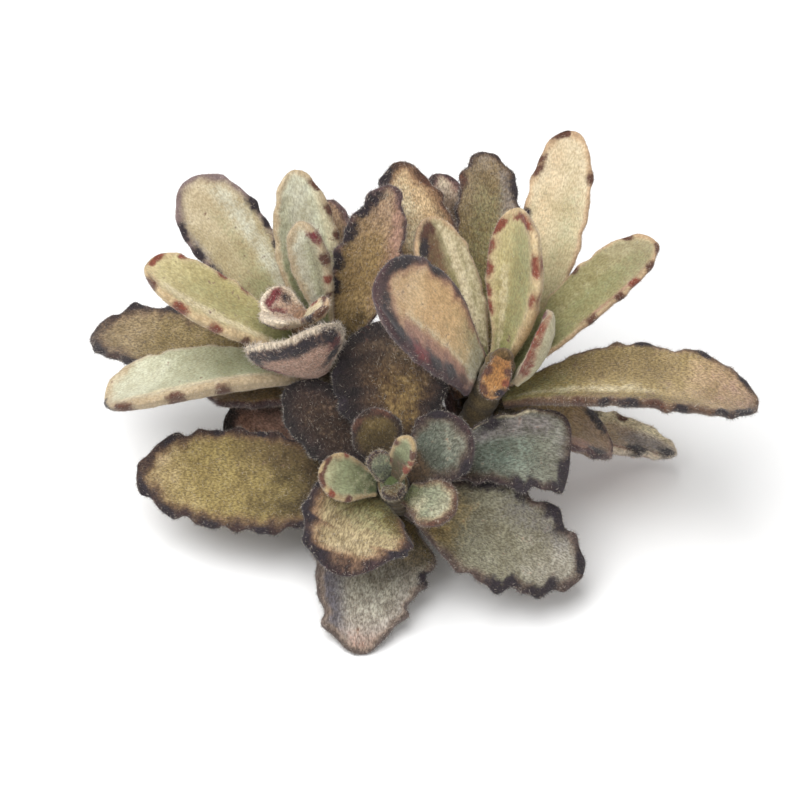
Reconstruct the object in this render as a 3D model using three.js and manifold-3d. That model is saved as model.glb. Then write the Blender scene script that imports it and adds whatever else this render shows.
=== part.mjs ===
// Panda plant (Kalanchoe tomentosa): three leaf rosettes on one short branching stem, cut at the foot.
// Millimetres, +Z up. The origin is the middle of the footprint, on the surface that the clump rests on.
import * as THREE from "three";
import { mergeVertices } from "three/addons/utils/BufferGeometryUtils.js";
import Module from "manifold-3d";

const wasm = await Module();
wasm.setup();

// The middle of the footprint, measured from the middle of the stem's cut foot.
const FOOTPRINT_MIDDLE = [2.83, 9.91, 0];

// Stem: one foot, and three branches that each bend once and end in a straight shoot.
const FOOT_RADIUS = 6.5;
const FOOT_HEIGHT = 8;
const FOOT_TOP_RADIUS = 5;
const FOOT_SHOULDER = { height: 5.6, radius: 6.1 };
const BRANCH_RADIUS = 4;
const SHOOT_RADIUS = 3.2;
const STEM_SIDES = 12;
const BRANCHES = {
  left: { root: [-1, 1, 4.5], bend: [-8, 8, 14], top: [-20, 9.5, 48] },
  right: { root: [1, 0, 4.5], bend: [11.5, 1, 14.5], top: [21, 3, 43] },
  front: { root: [0, -1, 4.5], bend: [0.5, -6, 8], top: [-1.5, -17.5, 28] },
};

// Bud: a small dome on each shoot, with the youngest leaves grown out of it.
const BUD_RADIUS = 2.6;
const BUD_HEIGHT = 3.2;
const BUD_RINGS = [0, 0.3, 0.6, 0.85]; // heights of the dome's rings, as shares
const BUD_REACH = 0.6; // how far from the shoot's axis a bud leaf starts
const BUD_LEAF_RISE = 1.5; // how far above the shoot's top it starts

// Leaves: a thick channelled blade with a raised, rounded rim.
const SEAT_GAP = 0.3; // between a leaf's base and the shoot
const BASE_THICKNESS = 0.72; // share of the full thickness at the base
const UPPER_SHARE = 0.85; // share of the half thickness above the middle plane
const LOWER_SHARE = 1.15; // and below it
const SECTION_POWER = 2.6; // roundness of the cross-section
const NECK_POWER = 1.4; // how the base widens
const TOOTH_RISE = 0.06; // share of the length over which a tooth of the margin swells
const TOOTH_FALL = 0.04; // and falls away towards the tip
const TOOTH_FADE = 0.04; // share of the length over which teeth die out at the tip
const LEAST_TAPER = 0.12; // thickness that is left at the tip, as a share
const TIP_END = 0.992; // the last ring, as a share of the length
const MAIN_STATIONS = 13;
const STATION_CROWDING = 1.35; // how much closer the stations stand towards the tip
const TOOTH_STATIONS = [-0.035, 0, 0.03, 0.055]; // round the peak of a tooth
const LEAST_STATION_STEP = 0.012;

// Where the cross-section's points lie: share of the half width, and upper (1), rim (0) or lower (-1) face.
const SECTION = [
  [1, 0], [0.86, 1], [0.45, 1], [0, 1], [-0.45, 1], [-0.86, 1], [-1, 0], [-0.72, -1], [0, -1], [0.72, -1],
];

const PLAIN_LEAF = {
  curl: 15, // degrees that the blade bends up along its length
  roll: 0, // degrees that the blade is turned about its base
  sweep: 0, // degrees that it bends to its left
  thick: 3.8,
  fold: 0.26, // how far the rims stand up, as a share of the half width
  wide: 0.6, // where the blade is widest, as a share of the length
  neck: 0.42, // width of the base, as a share of the width
  blunt: 2.4, // how blunt the tip is
  left: [], // teeth of the left margin, as shares of the length
  right: [], // and of the right margin
  bite: 0.12, // height of a tooth, as a share of the half width
};

const COLOURS = {
  olive: 0x8f8555,
  green: 0xa3ac84,
  pale: 0xc3c6ae,
  blue: 0x7f8a82,
  tan: 0xb79c70,
  dusky: 0x6b5a4c,
  stem: 0x7a6a4c,
};

// name, branch, distance below the shoot's top, heading and rise in degrees, length, width, colour, shape
const LEAVES = [
  ["front_1", "front", 14, 174, 3, 53.5, 21.8, "olive",
    { curl: -8, thick: 4, wide: 0.52, blunt: 2.1, left: [0.45, 0.66, 0.84], right: [0.87], bite: 0.07 }],
  ["front_2", "front", 17.6, 242, -12.9, 30, 26, "blue",
    { curl: -10, sweep: 32, thick: 4, fold: 0.14, wide: 0.24, neck: 0.5, blunt: 1.3,
      left: [0.48, 0.74], right: [0.42, 0.83], bite: 0.08 }],
  ["front_3", "front", 6, 223, -2, 16.5, 24.4, "tan",
    { curl: -20, sweep: 50, wide: 0.36, blunt: 1.6, neck: 0.6, left: [0.6], right: [0.55, 0.8], bite: 0.08 }],
  ["front_4", "front", 10.8, 334, -1, 39.5, 21.6, "blue",
    { curl: -34, thick: 4, wide: 0.45, neck: 0.34, blunt: 1.35,
      left: [0.48, 0.72], right: [0.6, 0.8], bite: 0.18 }],
  ["front_5", "front", 1.5, 318, 14, 13, 10.5, "pale", { curl: 10, thick: 3.2, neck: 0.5 }],
  ["front_6", "front", 2, 191, 25, 13.5, 10, "green", { thick: 3.2, neck: 0.5 }],
  ["front_7", "front", 3, 132, 66, 15, 10.5, "olive", { curl: 10, thick: 3.2, neck: 0.46 }],
  ["front_8", "front", 3, 19, 38, 17, 15, "blue", { curl: 12, neck: 0.42 }],
  ["front_9", "front", 7.8, 18, 30, 32, 17.5, "blue",
    { curl: -30, sweep: -42, neck: 0.15, wide: 0.9, blunt: 3,
      right: [0.73, 0.965], bite: 0.19 }],
  ["front_10", "front", 16.9, 147, 2, 41, 18, "dusky", { curl: 5, thick: 3.4, neck: 0.32 }],
  ["front_11", "front", 5.6, 87, 42, 31.5, 23.5, "dusky",
    { curl: 8, sweep: 18, thick: 3.6, neck: 0.26, wide: 0.6, blunt: 2.4 }],
  ["front_12", "front", 11.2, 148, 34, 29, 14, "dusky", { curl: 5 }],
  ["left_1", "left", 10.5, 135, 32, 45, 17, "green",
    { curl: 10, wide: 0.7, left: [0.8], right: [0.72], bite: 0.05 }],
  ["left_2", "left", 7.5, 108, 54, 35.5, 14, "pale",
    { curl: 10, roll: -35, neck: 0.34, wide: 0.5, blunt: 2 }],
  ["left_3", "left", 14.7, 91, 46, 34, 12, "olive", { curl: 5 }],
  ["left_4", "left", 3, 129, 74, 24.5, 8.5, "pale", { curl: 10, roll: -35, thick: 4.2 }],
  ["left_5", "left", 6, 172, 27, 36, 15.5, "green", { curl: 10, thick: 4.2, wide: 0.58, blunt: 3 }],
  ["left_6", "left", 17, 157, -4, 56, 16.5, "olive",
    { curl: -5, wide: 0.68, left: [0.74, 0.9], right: [0.7, 0.86], bite: 0.14 }],
  ["left_7", "left", 12.5, 183, 6, 44, 17, "pale", { curl: -26, roll: -5, thick: 4.8, wide: 0.66, blunt: 3 }],
  ["left_8", "left", 9, 229, 56, 15.5, 21.5, "dusky",
    { curl: 10, roll: -8, neck: 0.34, blunt: 3.2 }],
  ["left_9", "left", 11.3, 56, 58, 37.5, 13.8, "tan",
    { curl: 5, roll: -50, neck: 0.3, wide: 0.52, blunt: 1.8 }],
  ["left_10", "left", 20.5, 162, -10, 28, 14, "olive", { curl: -10 }],
  ["left_11", "left", 22.5, 92, 4, 36, 16, "olive", { curl: -5 }],
  ["left_12", "left", 25, 105, -33.5, 40, 16, "olive", { curl: -5 }],
  ["right_1", "right", 13, 114, 36, 52, 17, "tan", { curl: 10, roll: 15, wide: 0.62, blunt: 2 }],
  ["right_2", "right", 21, 96, 19, 60, 16, "dusky", { curl: 10 }],
  ["right_3", "right", 17, 85, 29, 59, 14.2, "olive",
    { curl: 0, wide: 0.7, blunt: 3, right: [0.7, 0.86], bite: 0.06 }],
  ["right_4", "right", 10.5, 52, 40, 56, 13.6, "pale",
    { curl: 5, sweep: 22, wide: 0.62, neck: 0.35, blunt: 3.2 }],
  ["right_5", "right", 2.5, 32, 66, 31, 15.4, "green",
    { curl: 8, roll: 40, sweep: 38, thick: 4.2, neck: 0.34 }],
  ["right_6", "right", 8.4, 117, 41, 35.5, 15.5, "pale", { roll: 10, neck: 0.55, wide: 0.5 }],
  ["right_7", "right", 6.1, 28, 45, 43, 12, "green", { curl: -28, wide: 0.66, neck: 0.33 }],
  ["right_8", "right", 1.4, 357, 55, 18, 10.5, "pale", { curl: 35, thick: 3.2, neck: 0.5 }],
  ["right_9", "right", 5.2, 165, 56, 35, 22.3, "tan",
    { curl: 10, roll: 15, sweep: 40, thick: 4.2, neck: 0.58, wide: 0.5, blunt: 2.8 }],
  ["right_10", "right", 9.1, 3, 20, 53, 18.4, "olive",
    { curl: -35, sweep: -16, neck: 0.3, wide: 0.5, blunt: 3.6,
      left: [0.54, 0.76], right: [0.7, 0.86] }],
  ["right_11", "right", 21, 22, -14, 47.5, 12.5, "tan", { curl: -10, sweep: -20 }],
  ["right_12", "right", 24, 135, 0, 28, 13, "olive", { curl: -5 }],
  ["right_13", "right", 25, 55, -30, 30, 14, "olive", { curl: -15 }],
  ["right_14", "right", 13, 9, -18, 28.5, 17, "olive",
    { curl: -18, sweep: -20, neck: 0.5, wide: 0.55, blunt: 2.2, right: [0.5] }],
];

// branch, heading, rise, length, width, curl: the youngest leaves, which stay part of their bud
const BUD_LEAVES = [
  ["front", 10, 72, 14, 5.5, 15],
  ["front", 165, 64, 9, 5.5, 15],
  ["front", 275, 15, 6, 5, 15],
  ["left", 155, 15, 9, 8.5, 15],
  ["left", 205, 15, 9, 7, 15],
  ["left", 330, 40, 9, 6.5, 15],
  ["right", 258, 12, 10.5, 6, -60],
];
const BUD_LEAF = { thick: 2.5, neck: 0.6 };

const vector = (p) => new THREE.Vector3(...p);
const radians = THREE.MathUtils.degToRad;

// The shoot's axis, and the point on it that lies a given distance below its top.
function shootPoint(branch, below) {
  const top = vector(BRANCHES[branch].top);
  const axis = top.clone().sub(vector(BRANCHES[branch].bend)).normalize();
  return { axis, point: top.addScaledVector(axis, -below) };
}

// The frame at a leaf's base: where it starts, which way it runs, its upper side and its left side.
function baseFrame(leaf) {
  const { axis, point } = shootPoint(leaf.branch, leaf.below);
  const heading = radians(leaf.heading);
  const rise = radians(leaf.rise);
  const along = vector([
    Math.cos(heading) * Math.cos(rise),
    Math.sin(heading) * Math.cos(rise),
    Math.sin(rise),
  ]);
  const lean = along.dot(axis);
  const out = along.clone().addScaledVector(axis, -lean).normalize();
  const halfBase = (leaf.thick / 2) * BASE_THICKNESS * LOWER_SHARE;
  const reach = leaf.reach ?? SHOOT_RADIUS + SEAT_GAP + halfBase * Math.abs(lean);
  const up = axis.clone().addScaledVector(along, -lean).normalize();
  up.applyAxisAngle(along, -radians(leaf.roll));
  return { start: point.addScaledVector(out, reach), along, up, left: up.clone().cross(along) };
}

// Half width at a share s of the length, as a share of the full half width.
function outline(leaf, s, teeth) {
  const past = (s - leaf.wide) / (1 - leaf.wide);
  const rise = Math.sin((Math.PI / 2) * (s / leaf.wide)) ** NECK_POWER;
  const body = past <= 0 ? leaf.neck + (1 - leaf.neck) * rise : Math.sqrt(1 - past ** leaf.blunt);
  const swell = (c) => Math.exp(-(((s - c) / (s < c ? TOOTH_RISE : TOOTH_FALL)) ** 2));
  const tooth = teeth.reduce((sum, c) => sum + swell(c), 0);
  return body + leaf.bite * tooth * Math.min(1, (1 - s) / TOOTH_FADE);
}

// The middle line bends by curl towards the upper side and by sweep towards the left.
function frameAt(leaf, base, s) {
  const bend = radians(leaf.curl) * s;
  const ahead = bend ? Math.sin(bend) / bend : 1;
  const lift = bend ? (1 - Math.cos(bend)) / bend : 0;
  const sweep = radians(leaf.sweep);
  const centre = base.start
    .clone()
    .addScaledVector(base.along, leaf.length * s * ahead)
    .addScaledVector(base.up, leaf.length * s * lift)
    .addScaledVector(base.left, (sweep * leaf.length * s * s) / 2);
  const along = base.along.clone().multiplyScalar(Math.cos(bend));
  along.addScaledVector(base.up, Math.sin(bend)).addScaledVector(base.left, sweep * s).normalize();
  const flatUp = base.up.clone().multiplyScalar(Math.cos(bend));
  flatUp.addScaledVector(base.along, -Math.sin(bend));
  const left = flatUp.cross(along).normalize();
  return { centre, along, left, up: along.clone().cross(left) };
}

function sectionRing(leaf, base, s) {
  const frame = frameAt(leaf, base, s);
  const taper = Math.max(LEAST_TAPER, Math.sqrt(1 - s ** 5));
  const half = (leaf.thick / 2) * Math.min(1, BASE_THICKNESS + (1 - BASE_THICKNESS) * (s / 0.3)) * taper;
  return SECTION.map(([x, face]) => {
    const width = (outline(leaf, s, x < 0 ? leaf.right : leaf.left) * leaf.width) / 2;
    const share = face > 0 ? UPPER_SHARE : LOWER_SHARE;
    const depth = half * face * share * (1 - Math.abs(x) ** SECTION_POWER) ** (1 / SECTION_POWER);
    const lift = leaf.fold * width * Math.min(1, 0.4 + 0.6 * (s / 0.35)) * x * x;
    return frame.centre
      .clone()
      .addScaledVector(frame.left, x * width)
      .addScaledVector(frame.up, depth + lift);
  });
}

// Stations along the blade: closer together at the tip, and placed on each tooth's foot, peak and fall.
function stations(leaf) {
  const list = [];
  for (let i = 0; i < MAIN_STATIONS; i += 1) {
    list.push(1 - (1 - i / (MAIN_STATIONS - 1)) ** STATION_CROWDING);
  }
  for (const c of [...leaf.left, ...leaf.right]) list.push(...TOOTH_STATIONS.map((d) => c + d));
  const inside = list.filter((s) => s < TIP_END - LEAST_STATION_STEP).sort((a, b) => a - b);
  const spaced = inside.filter((s, i) => i === 0 || s - inside[i - 1] > LEAST_STATION_STEP);
  return [...spaced, TIP_END];
}

// A closed solid through rings of equally many points, fanned shut at both ends.
function loft(rings, firstPoint, lastPoint) {
  const sides = rings[0].length;
  const points = [...rings.flat(), firstPoint, lastPoint];
  const first = points.length - 2;
  const last = points.length - 1;
  const index = [];
  for (let k = 0; k < sides; k += 1) {
    const next = (k + 1) % sides;
    for (let i = 0; i + 1 < rings.length; i += 1) {
      const a = i * sides + k;
      const b = i * sides + next;
      index.push(a, b, a + sides, b, b + sides, a + sides);
    }
    const end = (rings.length - 1) * sides;
    index.push(first, next, k, last, end + k, end + next);
  }
  const geometry = new THREE.BufferGeometry().setFromPoints(points);
  geometry.setIndex(index);
  return geometry;
}

const middle = (ring) => ring.reduce((sum, p) => sum.add(p), new THREE.Vector3()).divideScalar(ring.length);

function leafGeometry(leaf) {
  const base = baseFrame(leaf);
  const rings = stations(leaf).map((s) => sectionRing(leaf, base, s));
  const { along } = frameAt(leaf, base, 1);
  const tip = middle(rings.at(-1)).addScaledVector(along, (1 - TIP_END) * leaf.length);
  return loft(rings, middle(rings[0]), tip);
}

// A ring of points round an axis.
function circle(centre, axis, radius) {
  const turn = new THREE.Quaternion().setFromUnitVectors(new THREE.Vector3(0, 0, 1), axis);
  return Array.from({ length: STEM_SIDES }, (_, k) => {
    const angle = (2 * Math.PI * k) / STEM_SIDES;
    const spoke = vector([radius * Math.cos(angle), radius * Math.sin(angle), 0]);
    return spoke.applyQuaternion(turn).add(centre);
  });
}

function branchGeometry({ root, bend, top }) {
  const points = [root, bend, top].map(vector);
  const lower = points[1].clone().sub(points[0]).normalize();
  const upper = points[2].clone().sub(points[1]).normalize();
  const corner = lower.clone().add(upper).normalize();
  const rings = [
    circle(points[0], lower, FOOT_TOP_RADIUS),
    circle(points[1], corner, BRANCH_RADIUS),
    circle(points[1].clone().addScaledVector(upper, BRANCH_RADIUS), upper, SHOOT_RADIUS),
    circle(points[2], upper, SHOOT_RADIUS),
  ];
  return loft(rings, points[0], points[2]);
}

function footGeometry() {
  const up = new THREE.Vector3(0, 0, 1);
  const top = vector([0, 0, FOOT_HEIGHT]);
  const bottom = vector([0, 0, 0]);
  const shoulder = vector([0, 0, FOOT_SHOULDER.height]);
  const rings = [
    circle(bottom, up, FOOT_RADIUS),
    circle(shoulder, up, FOOT_SHOULDER.radius),
    circle(top, up, FOOT_TOP_RADIUS),
  ];
  return loft(rings, bottom, top);
}

function domeGeometry(branch) {
  const { axis, point } = shootPoint(branch, -SEAT_GAP);
  const at = (height) => point.clone().addScaledVector(axis, height * BUD_HEIGHT);
  const rings = BUD_RINGS.map((h) => circle(at(h), axis, BUD_RADIUS * Math.sqrt(1 - h * h)));
  return loft(rings, at(0), at(1));
}

// Joins closed geometries into one.
function join(geometries) {
  const solids = geometries.map((geometry) => {
    const merged = mergeVertices(geometry, 1e-4);
    const mesh = new wasm.Mesh({
      numProp: 3,
      vertProperties: merged.attributes.position.array,
      triVerts: new Uint32Array(merged.index.array),
    });
    return new wasm.Manifold(mesh);
  });
  const result = solids.reduce((sum, solid) => sum.add(solid)).getMesh();
  const geometry = new THREE.BufferGeometry();
  geometry.setAttribute("position", new THREE.BufferAttribute(result.vertProperties, 3));
  geometry.setIndex(new THREE.BufferAttribute(result.triVerts, 1));
  return geometry;
}

function addPiece(group, name, geometry, colour) {
  geometry.computeVertexNormals();
  const material = new THREE.MeshStandardMaterial({ color: COLOURS[colour], roughness: 0.95, metalness: 0 });
  const mesh = new THREE.Mesh(geometry, material);
  mesh.name = name;
  group.add(mesh);
}

const group = new THREE.Group();
group.position.sub(vector(FOOTPRINT_MIDDLE));
addPiece(group, "stem", join([footGeometry(), ...Object.values(BRANCHES).map(branchGeometry)]), "stem");

for (const [name, branch, below, heading, rise, length, width, colour, shape] of LEAVES) {
  const leaf = { ...PLAIN_LEAF, branch, below, heading, rise, length, width, ...shape };
  addPiece(group, name, leafGeometry(leaf), colour);
}

for (const branch of Object.keys(BRANCHES)) {
  const rows = BUD_LEAVES.filter((row) => row[0] === branch);
  const young = rows.map(([, heading, rise, length, width, curl]) => {
    const place = { branch, below: -BUD_LEAF_RISE, reach: BUD_REACH, heading, rise, length, width, curl };
    return leafGeometry({ ...PLAIN_LEAF, ...BUD_LEAF, ...place });
  });
  addPiece(group, `${branch}_bud`, join([domeGeometry(branch), ...young]), "pale");
}

export default group;
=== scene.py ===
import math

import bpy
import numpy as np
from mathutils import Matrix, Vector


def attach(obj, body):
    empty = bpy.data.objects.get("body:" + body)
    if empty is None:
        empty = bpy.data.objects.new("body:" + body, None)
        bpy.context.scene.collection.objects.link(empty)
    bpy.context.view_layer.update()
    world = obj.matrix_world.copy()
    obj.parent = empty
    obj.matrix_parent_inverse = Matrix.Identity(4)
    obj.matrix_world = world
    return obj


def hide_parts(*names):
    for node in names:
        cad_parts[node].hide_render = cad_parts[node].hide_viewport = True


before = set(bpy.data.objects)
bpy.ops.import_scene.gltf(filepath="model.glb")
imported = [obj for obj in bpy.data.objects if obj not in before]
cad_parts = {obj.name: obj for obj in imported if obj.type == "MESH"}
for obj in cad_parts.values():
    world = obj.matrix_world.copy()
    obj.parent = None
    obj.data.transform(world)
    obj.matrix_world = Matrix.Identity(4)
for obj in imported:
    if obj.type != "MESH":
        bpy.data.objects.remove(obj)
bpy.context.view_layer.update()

# Panda plant (Kalanchoe tomentosa): three rosettes of thick felted leaves on one short branching stem.
# Each leaf is a finely lofted skin with its own coat of modelled hairs. Sizes are in millimetres, as the
# solids have them, and become metres when a mesh is made.

MM = 0.001

# ---------- Sizes shared with the solids ----------

FOOTPRINT_MIDDLE = np.array([2.83, 9.91, 0.0])  # from the middle of the stem's cut foot

FOOT_RADIUS = 6.5
FOOT_TOP_RADIUS = 5.0
FOOT_HEIGHT = 8.0
FOOT_SHOULDER_HEIGHT = 5.6
FOOT_SHOULDER_RADIUS = 6.1
BRANCH_RADIUS = 4.0
SHOOT_RADIUS = 3.2
BRANCHES = {  # root, bend, top
    "left": ([-1, 1, 4.5], [-8, 8, 14], [-20, 9.5, 48]),
    "right": ([1, 0, 4.5], [11.5, 1, 14.5], [21, 3, 43]),
    "front": ([0, -1, 4.5], [0.5, -6, 8], [-1.5, -17.5, 28]),
}

BUD_RADIUS = 2.6
BUD_HEIGHT = 3.2
BUD_REACH = 0.6
BUD_LEAF_RISE = 1.5

SEAT_GAP = 0.3  # between a leaf's base and the shoot
BASE_THICKNESS = 0.72  # share of the full thickness at the base
THICKENING = 0.3  # share of the length after which the leaf has its full thickness
UPPER_SHARE = 0.85  # share of the half thickness above the middle plane
LOWER_SHARE = 1.15  # and below it
SECTION_POWER = 2.6  # roundness of the cross-section
BASE_FOLD = 0.4  # share of the channel's depth at the base
UNFOLDING = 0.35  # share of the length after which the channel has its full depth
NECK_POWER = 1.4  # how the base widens
TOOTH_RISE = 0.06  # share of the length over which a tooth of the margin swells
TOOTH_FALL = 0.04  # and falls away towards the tip
TOOTH_FADE = 0.04  # share of the length over which teeth die out at the tip
TAPER_POWER = 5  # how late the leaf thins towards its tip
LEAST_TAPER = 0.12  # thickness that is left at the tip, as a share

# Angles in degrees. fold: depth of the channel. wide: where the blade is widest. neck: width at the base.
# blunt: squareness of the tip. left, right: where the teeth stand. bite: how far they stand out.
PLAIN_LEAF = dict(
    curl=15, roll=0, sweep=0, thick=3.8, fold=0.26, wide=0.6, neck=0.42, blunt=2.4,
    left=[], right=[], bite=0.12,
)

# name, branch, distance below the shoot's top, heading and rise in degrees, length, width, slot, shape
LEAVES = [
    ("front_1", "front", 14, 174, 3, 53.5, 21.8, "felt_olive",
     dict(curl=-8, thick=4, wide=0.52, blunt=2.1, left=[0.45, 0.66, 0.84], right=[0.87], bite=0.07)),
    ("front_2", "front", 17.6, 242, -12.9, 30, 26, "felt_blue",
     dict(curl=-10, sweep=32, thick=4, fold=0.14, wide=0.24, neck=0.5, blunt=1.3, left=[0.48, 0.74],
          right=[0.42, 0.83], bite=0.08)),
    ("front_3", "front", 6, 223, -2, 16.5, 24.4, "felt_tan",
     dict(curl=-20, sweep=50, wide=0.36, blunt=1.6, neck=0.6, left=[0.6], right=[0.55, 0.8], bite=0.08)),
    ("front_4", "front", 10.8, 334, -1, 39.5, 21.6, "felt_blue",
     dict(curl=-34, thick=4, wide=0.45, neck=0.34, blunt=1.35, left=[0.48, 0.72], right=[0.6, 0.8],
          bite=0.18)),
    ("front_5", "front", 1.5, 318, 14, 13, 10.5, "felt_pale", dict(curl=10, thick=3.2, neck=0.5)),
    ("front_6", "front", 2, 191, 25, 13.5, 10, "felt_green", dict(thick=3.2, neck=0.5)),
    ("front_7", "front", 3, 132, 66, 15, 10.5, "felt_olive", dict(curl=10, thick=3.2, neck=0.46)),
    ("front_8", "front", 3, 19, 38, 17, 15, "felt_blue", dict(curl=12, neck=0.42)),
    ("front_9", "front", 7.8, 18, 30, 32, 17.5, "felt_blue",
     dict(curl=-30, sweep=-42, neck=0.15, wide=0.9, blunt=3, right=[0.73, 0.965], bite=0.19)),
    ("front_10", "front", 16.9, 147, 2, 41, 18, "felt_dusky", dict(curl=5, thick=3.4, neck=0.32)),
    ("front_11", "front", 5.6, 87, 42, 31.5, 23.5, "felt_dusky",
     dict(curl=8, sweep=18, thick=3.6, neck=0.26, wide=0.6, blunt=2.4)),
    ("front_12", "front", 11.2, 148, 34, 29, 14, "felt_dusky", dict(curl=5)),
    ("left_1", "left", 10.5, 135, 32, 45, 17, "felt_green",
     dict(curl=10, wide=0.7, left=[0.8], right=[0.72], bite=0.05)),
    ("left_2", "left", 7.5, 108, 54, 35.5, 14, "felt_pale",
     dict(curl=10, roll=-35, neck=0.34, wide=0.5, blunt=2)),
    ("left_3", "left", 14.7, 91, 46, 34, 12, "felt_olive", dict(curl=5)),
    ("left_4", "left", 3, 129, 74, 24.5, 8.5, "felt_pale", dict(curl=10, roll=-35, thick=4.2)),
    ("left_5", "left", 6, 172, 27, 36, 15.5, "felt_green", dict(curl=10, thick=4.2, wide=0.58, blunt=3)),
    ("left_6", "left", 17, 157, -4, 56, 16.5, "felt_olive",
     dict(curl=-5, wide=0.68, left=[0.74, 0.9], right=[0.7, 0.86], bite=0.14)),
    ("left_7", "left", 12.5, 183, 6, 44, 17, "felt_pale",
     dict(curl=-26, roll=-5, thick=4.8, wide=0.66, blunt=3)),
    ("left_8", "left", 9, 229, 56, 15.5, 21.5, "felt_dusky", dict(curl=10, roll=-8, neck=0.34, blunt=3.2)),
    ("left_9", "left", 11.3, 56, 58, 37.5, 13.8, "felt_tan",
     dict(curl=5, roll=-50, neck=0.3, wide=0.52, blunt=1.8)),
    ("left_10", "left", 20.5, 162, -10, 28, 14, "felt_olive", dict(curl=-10)),
    ("left_11", "left", 22.5, 92, 4, 36, 16, "felt_olive", dict(curl=-5)),
    ("left_12", "left", 25, 105, -33.5, 40, 16, "felt_olive", dict(curl=-5)),
    ("right_1", "right", 13, 114, 36, 52, 17, "felt_tan", dict(curl=10, roll=15, wide=0.62, blunt=2)),
    ("right_2", "right", 21, 96, 19, 60, 16, "felt_dusky", dict(curl=10)),
    ("right_3", "right", 17, 85, 29, 59, 14.2, "felt_olive",
     dict(curl=0, wide=0.7, blunt=3, right=[0.7, 0.86], bite=0.06)),
    ("right_4", "right", 10.5, 52, 40, 56, 13.6, "felt_pale",
     dict(curl=5, sweep=22, wide=0.62, neck=0.35, blunt=3.2)),
    ("right_5", "right", 2.5, 32, 66, 31, 15.4, "felt_green",
     dict(curl=8, roll=40, sweep=38, thick=4.2, neck=0.34)),
    ("right_6", "right", 8.4, 117, 41, 35.5, 15.5, "felt_pale", dict(roll=10, neck=0.55, wide=0.5)),
    ("right_7", "right", 6.1, 28, 45, 43, 12, "felt_green", dict(curl=-28, wide=0.66, neck=0.33)),
    ("right_8", "right", 1.4, 357, 55, 18, 10.5, "felt_pale", dict(curl=35, thick=3.2, neck=0.5)),
    ("right_9", "right", 5.2, 165, 56, 35, 22.3, "felt_tan",
     dict(curl=10, roll=15, sweep=40, thick=4.2, neck=0.58, wide=0.5, blunt=2.8)),
    ("right_10", "right", 9.1, 3, 20, 53, 18.4, "felt_olive",
     dict(curl=-35, sweep=-16, neck=0.3, wide=0.5, blunt=3.6, left=[0.54, 0.76], right=[0.7, 0.86])),
    ("right_11", "right", 21, 22, -14, 47.5, 12.5, "felt_tan", dict(curl=-10, sweep=-20)),
    ("right_12", "right", 24, 135, 0, 28, 13, "felt_olive", dict(curl=-5)),
    ("right_13", "right", 25, 55, -30, 30, 14, "felt_olive", dict(curl=-15)),
    ("right_14", "right", 13, 9, -18, 28.5, 17, "felt_olive",
     dict(curl=-18, sweep=-20, neck=0.5, wide=0.55, blunt=2.2, right=[0.5])),
]

# branch, heading, rise, length, width, curl
BUD_LEAVES = [
    ("front", 10, 72, 14, 5.5, 15),
    ("front", 165, 64, 9, 5.5, 15),
    ("front", 275, 15, 6, 5, 15),
    ("left", 155, 15, 9, 8.5, 15),
    ("left", 205, 15, 9, 7, 15),
    ("left", 330, 40, 9, 6.5, 15),
    ("right", 258, 12, 10.5, 6, -60),
]
BUD_LEAF = dict(thick=2.5, neck=0.6)

# ---------- Finishes ----------

# Felted leaf skin: base, middle and tip of the upper face, underside, blush inside the margin, margin. The dark
# base colour is partly the leaf's own and partly painted shade where the leaf runs in among the others
FINISHES = {
    "olive_felt": ("#4A3E20", "#968656", "#BCA888", "#7A6C4A", "#755C46", "#3B2827"),
    "straw_felt": ("#7A6E40", "#A8997A", "#BCAC96", "#968664", "#86644E", "#38262A"),
    "slate_felt": ("#5C5030", "#868474", "#A09C94", "#78746A", "#72625A", "#50403E"),
    "dove_felt": ("#6A5E3A", "#94908A", "#AEA6A4", "#78746A", "#8A7A70", "#5E5250"),
    "teal_felt": ("#332D1E", "#5C645C", "#7E8178", "#6E6E62", "#5C4E44", "#38272A"),
    "sage_felt": ("#6C744E", "#8E9480", "#A3A28E", "#88886C", "#96846C", "#5E4438"),
    "fresh_felt": ("#4C5834", "#868E70", "#A2A284", "#88886A", "#A4967A", "#AE9A78"),
    "moss_felt": ("#2A220E", "#564724", "#6C5A34", "#4A3E26", "#4E3C26", "#30201C"),
    "dusk_felt": ("#221A10", "#5C4630", "#584838", "#403226", "#3C2C28", "#1E1518"),
    "night_felt": ("#1A1410", "#3A2A23", "#46352F", "#403236", "#36292A", "#201719"),
    "beige_felt": ("#808660", "#B4AA8C", "#C4B8A0", "#A09E84", "#A6988A", "#807074"),
    "mint_felt": ("#8E966C", "#B6BAA4", "#CACCBC", "#B6B29A", "#C2B6A0", "#BAAA92"),
    "apple_felt": ("#7E8650", "#B0A87A", "#C0B68C", "#A4A07C", "#C8BC98", "#C8B494"),
    "bronze_felt": ("#4E4020", "#887850", "#98866A", "#706244", "#75604E", "#40302F"),
    "khaki_felt": ("#A09254", "#AC9A6E", "#B69E80", "#94825E", "#917A64", "#6A5244"),
    "umber_felt": ("#4C3E1C", "#9C845C", "#A68C76", "#8C7460", "#907266", "#5A4448"),
    "gold_felt": ("#5A4626", "#BC9A70", "#CCB290", "#84704E", "#947258", "#543A2E"),
    "cream_felt": ("#AEA67A", "#CCC2A4", "#DACEB8", "#B8B094", "#D4BEA2", "#BCA288"),
    "peach_felt": ("#A4A084", "#DEBE94", "#DCC4A4", "#AAA88E", "#A47A6C", "#4A343A"),
    "rose_felt": ("#8C6E5A", "#B09484", "#CABAAE", "#B08E82", "#8E6A64", "#4A343A"),
    "fern_felt": ("#666C40", "#98946C", "#A29A7E", "#8E9270", "#BCAE90", "#C0A68A"),
    "blush_felt": ("#8C6E5A", "#B8A090", "#D0C4B6", "#B09084", "#CCBCAE", "#DED2C4"),
    "stem_felt": ("#3E3420", "#5A4C30", "#6A5A3C", "#6A5A3C", "#5A4A34", "#4A3A28"),
}
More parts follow.
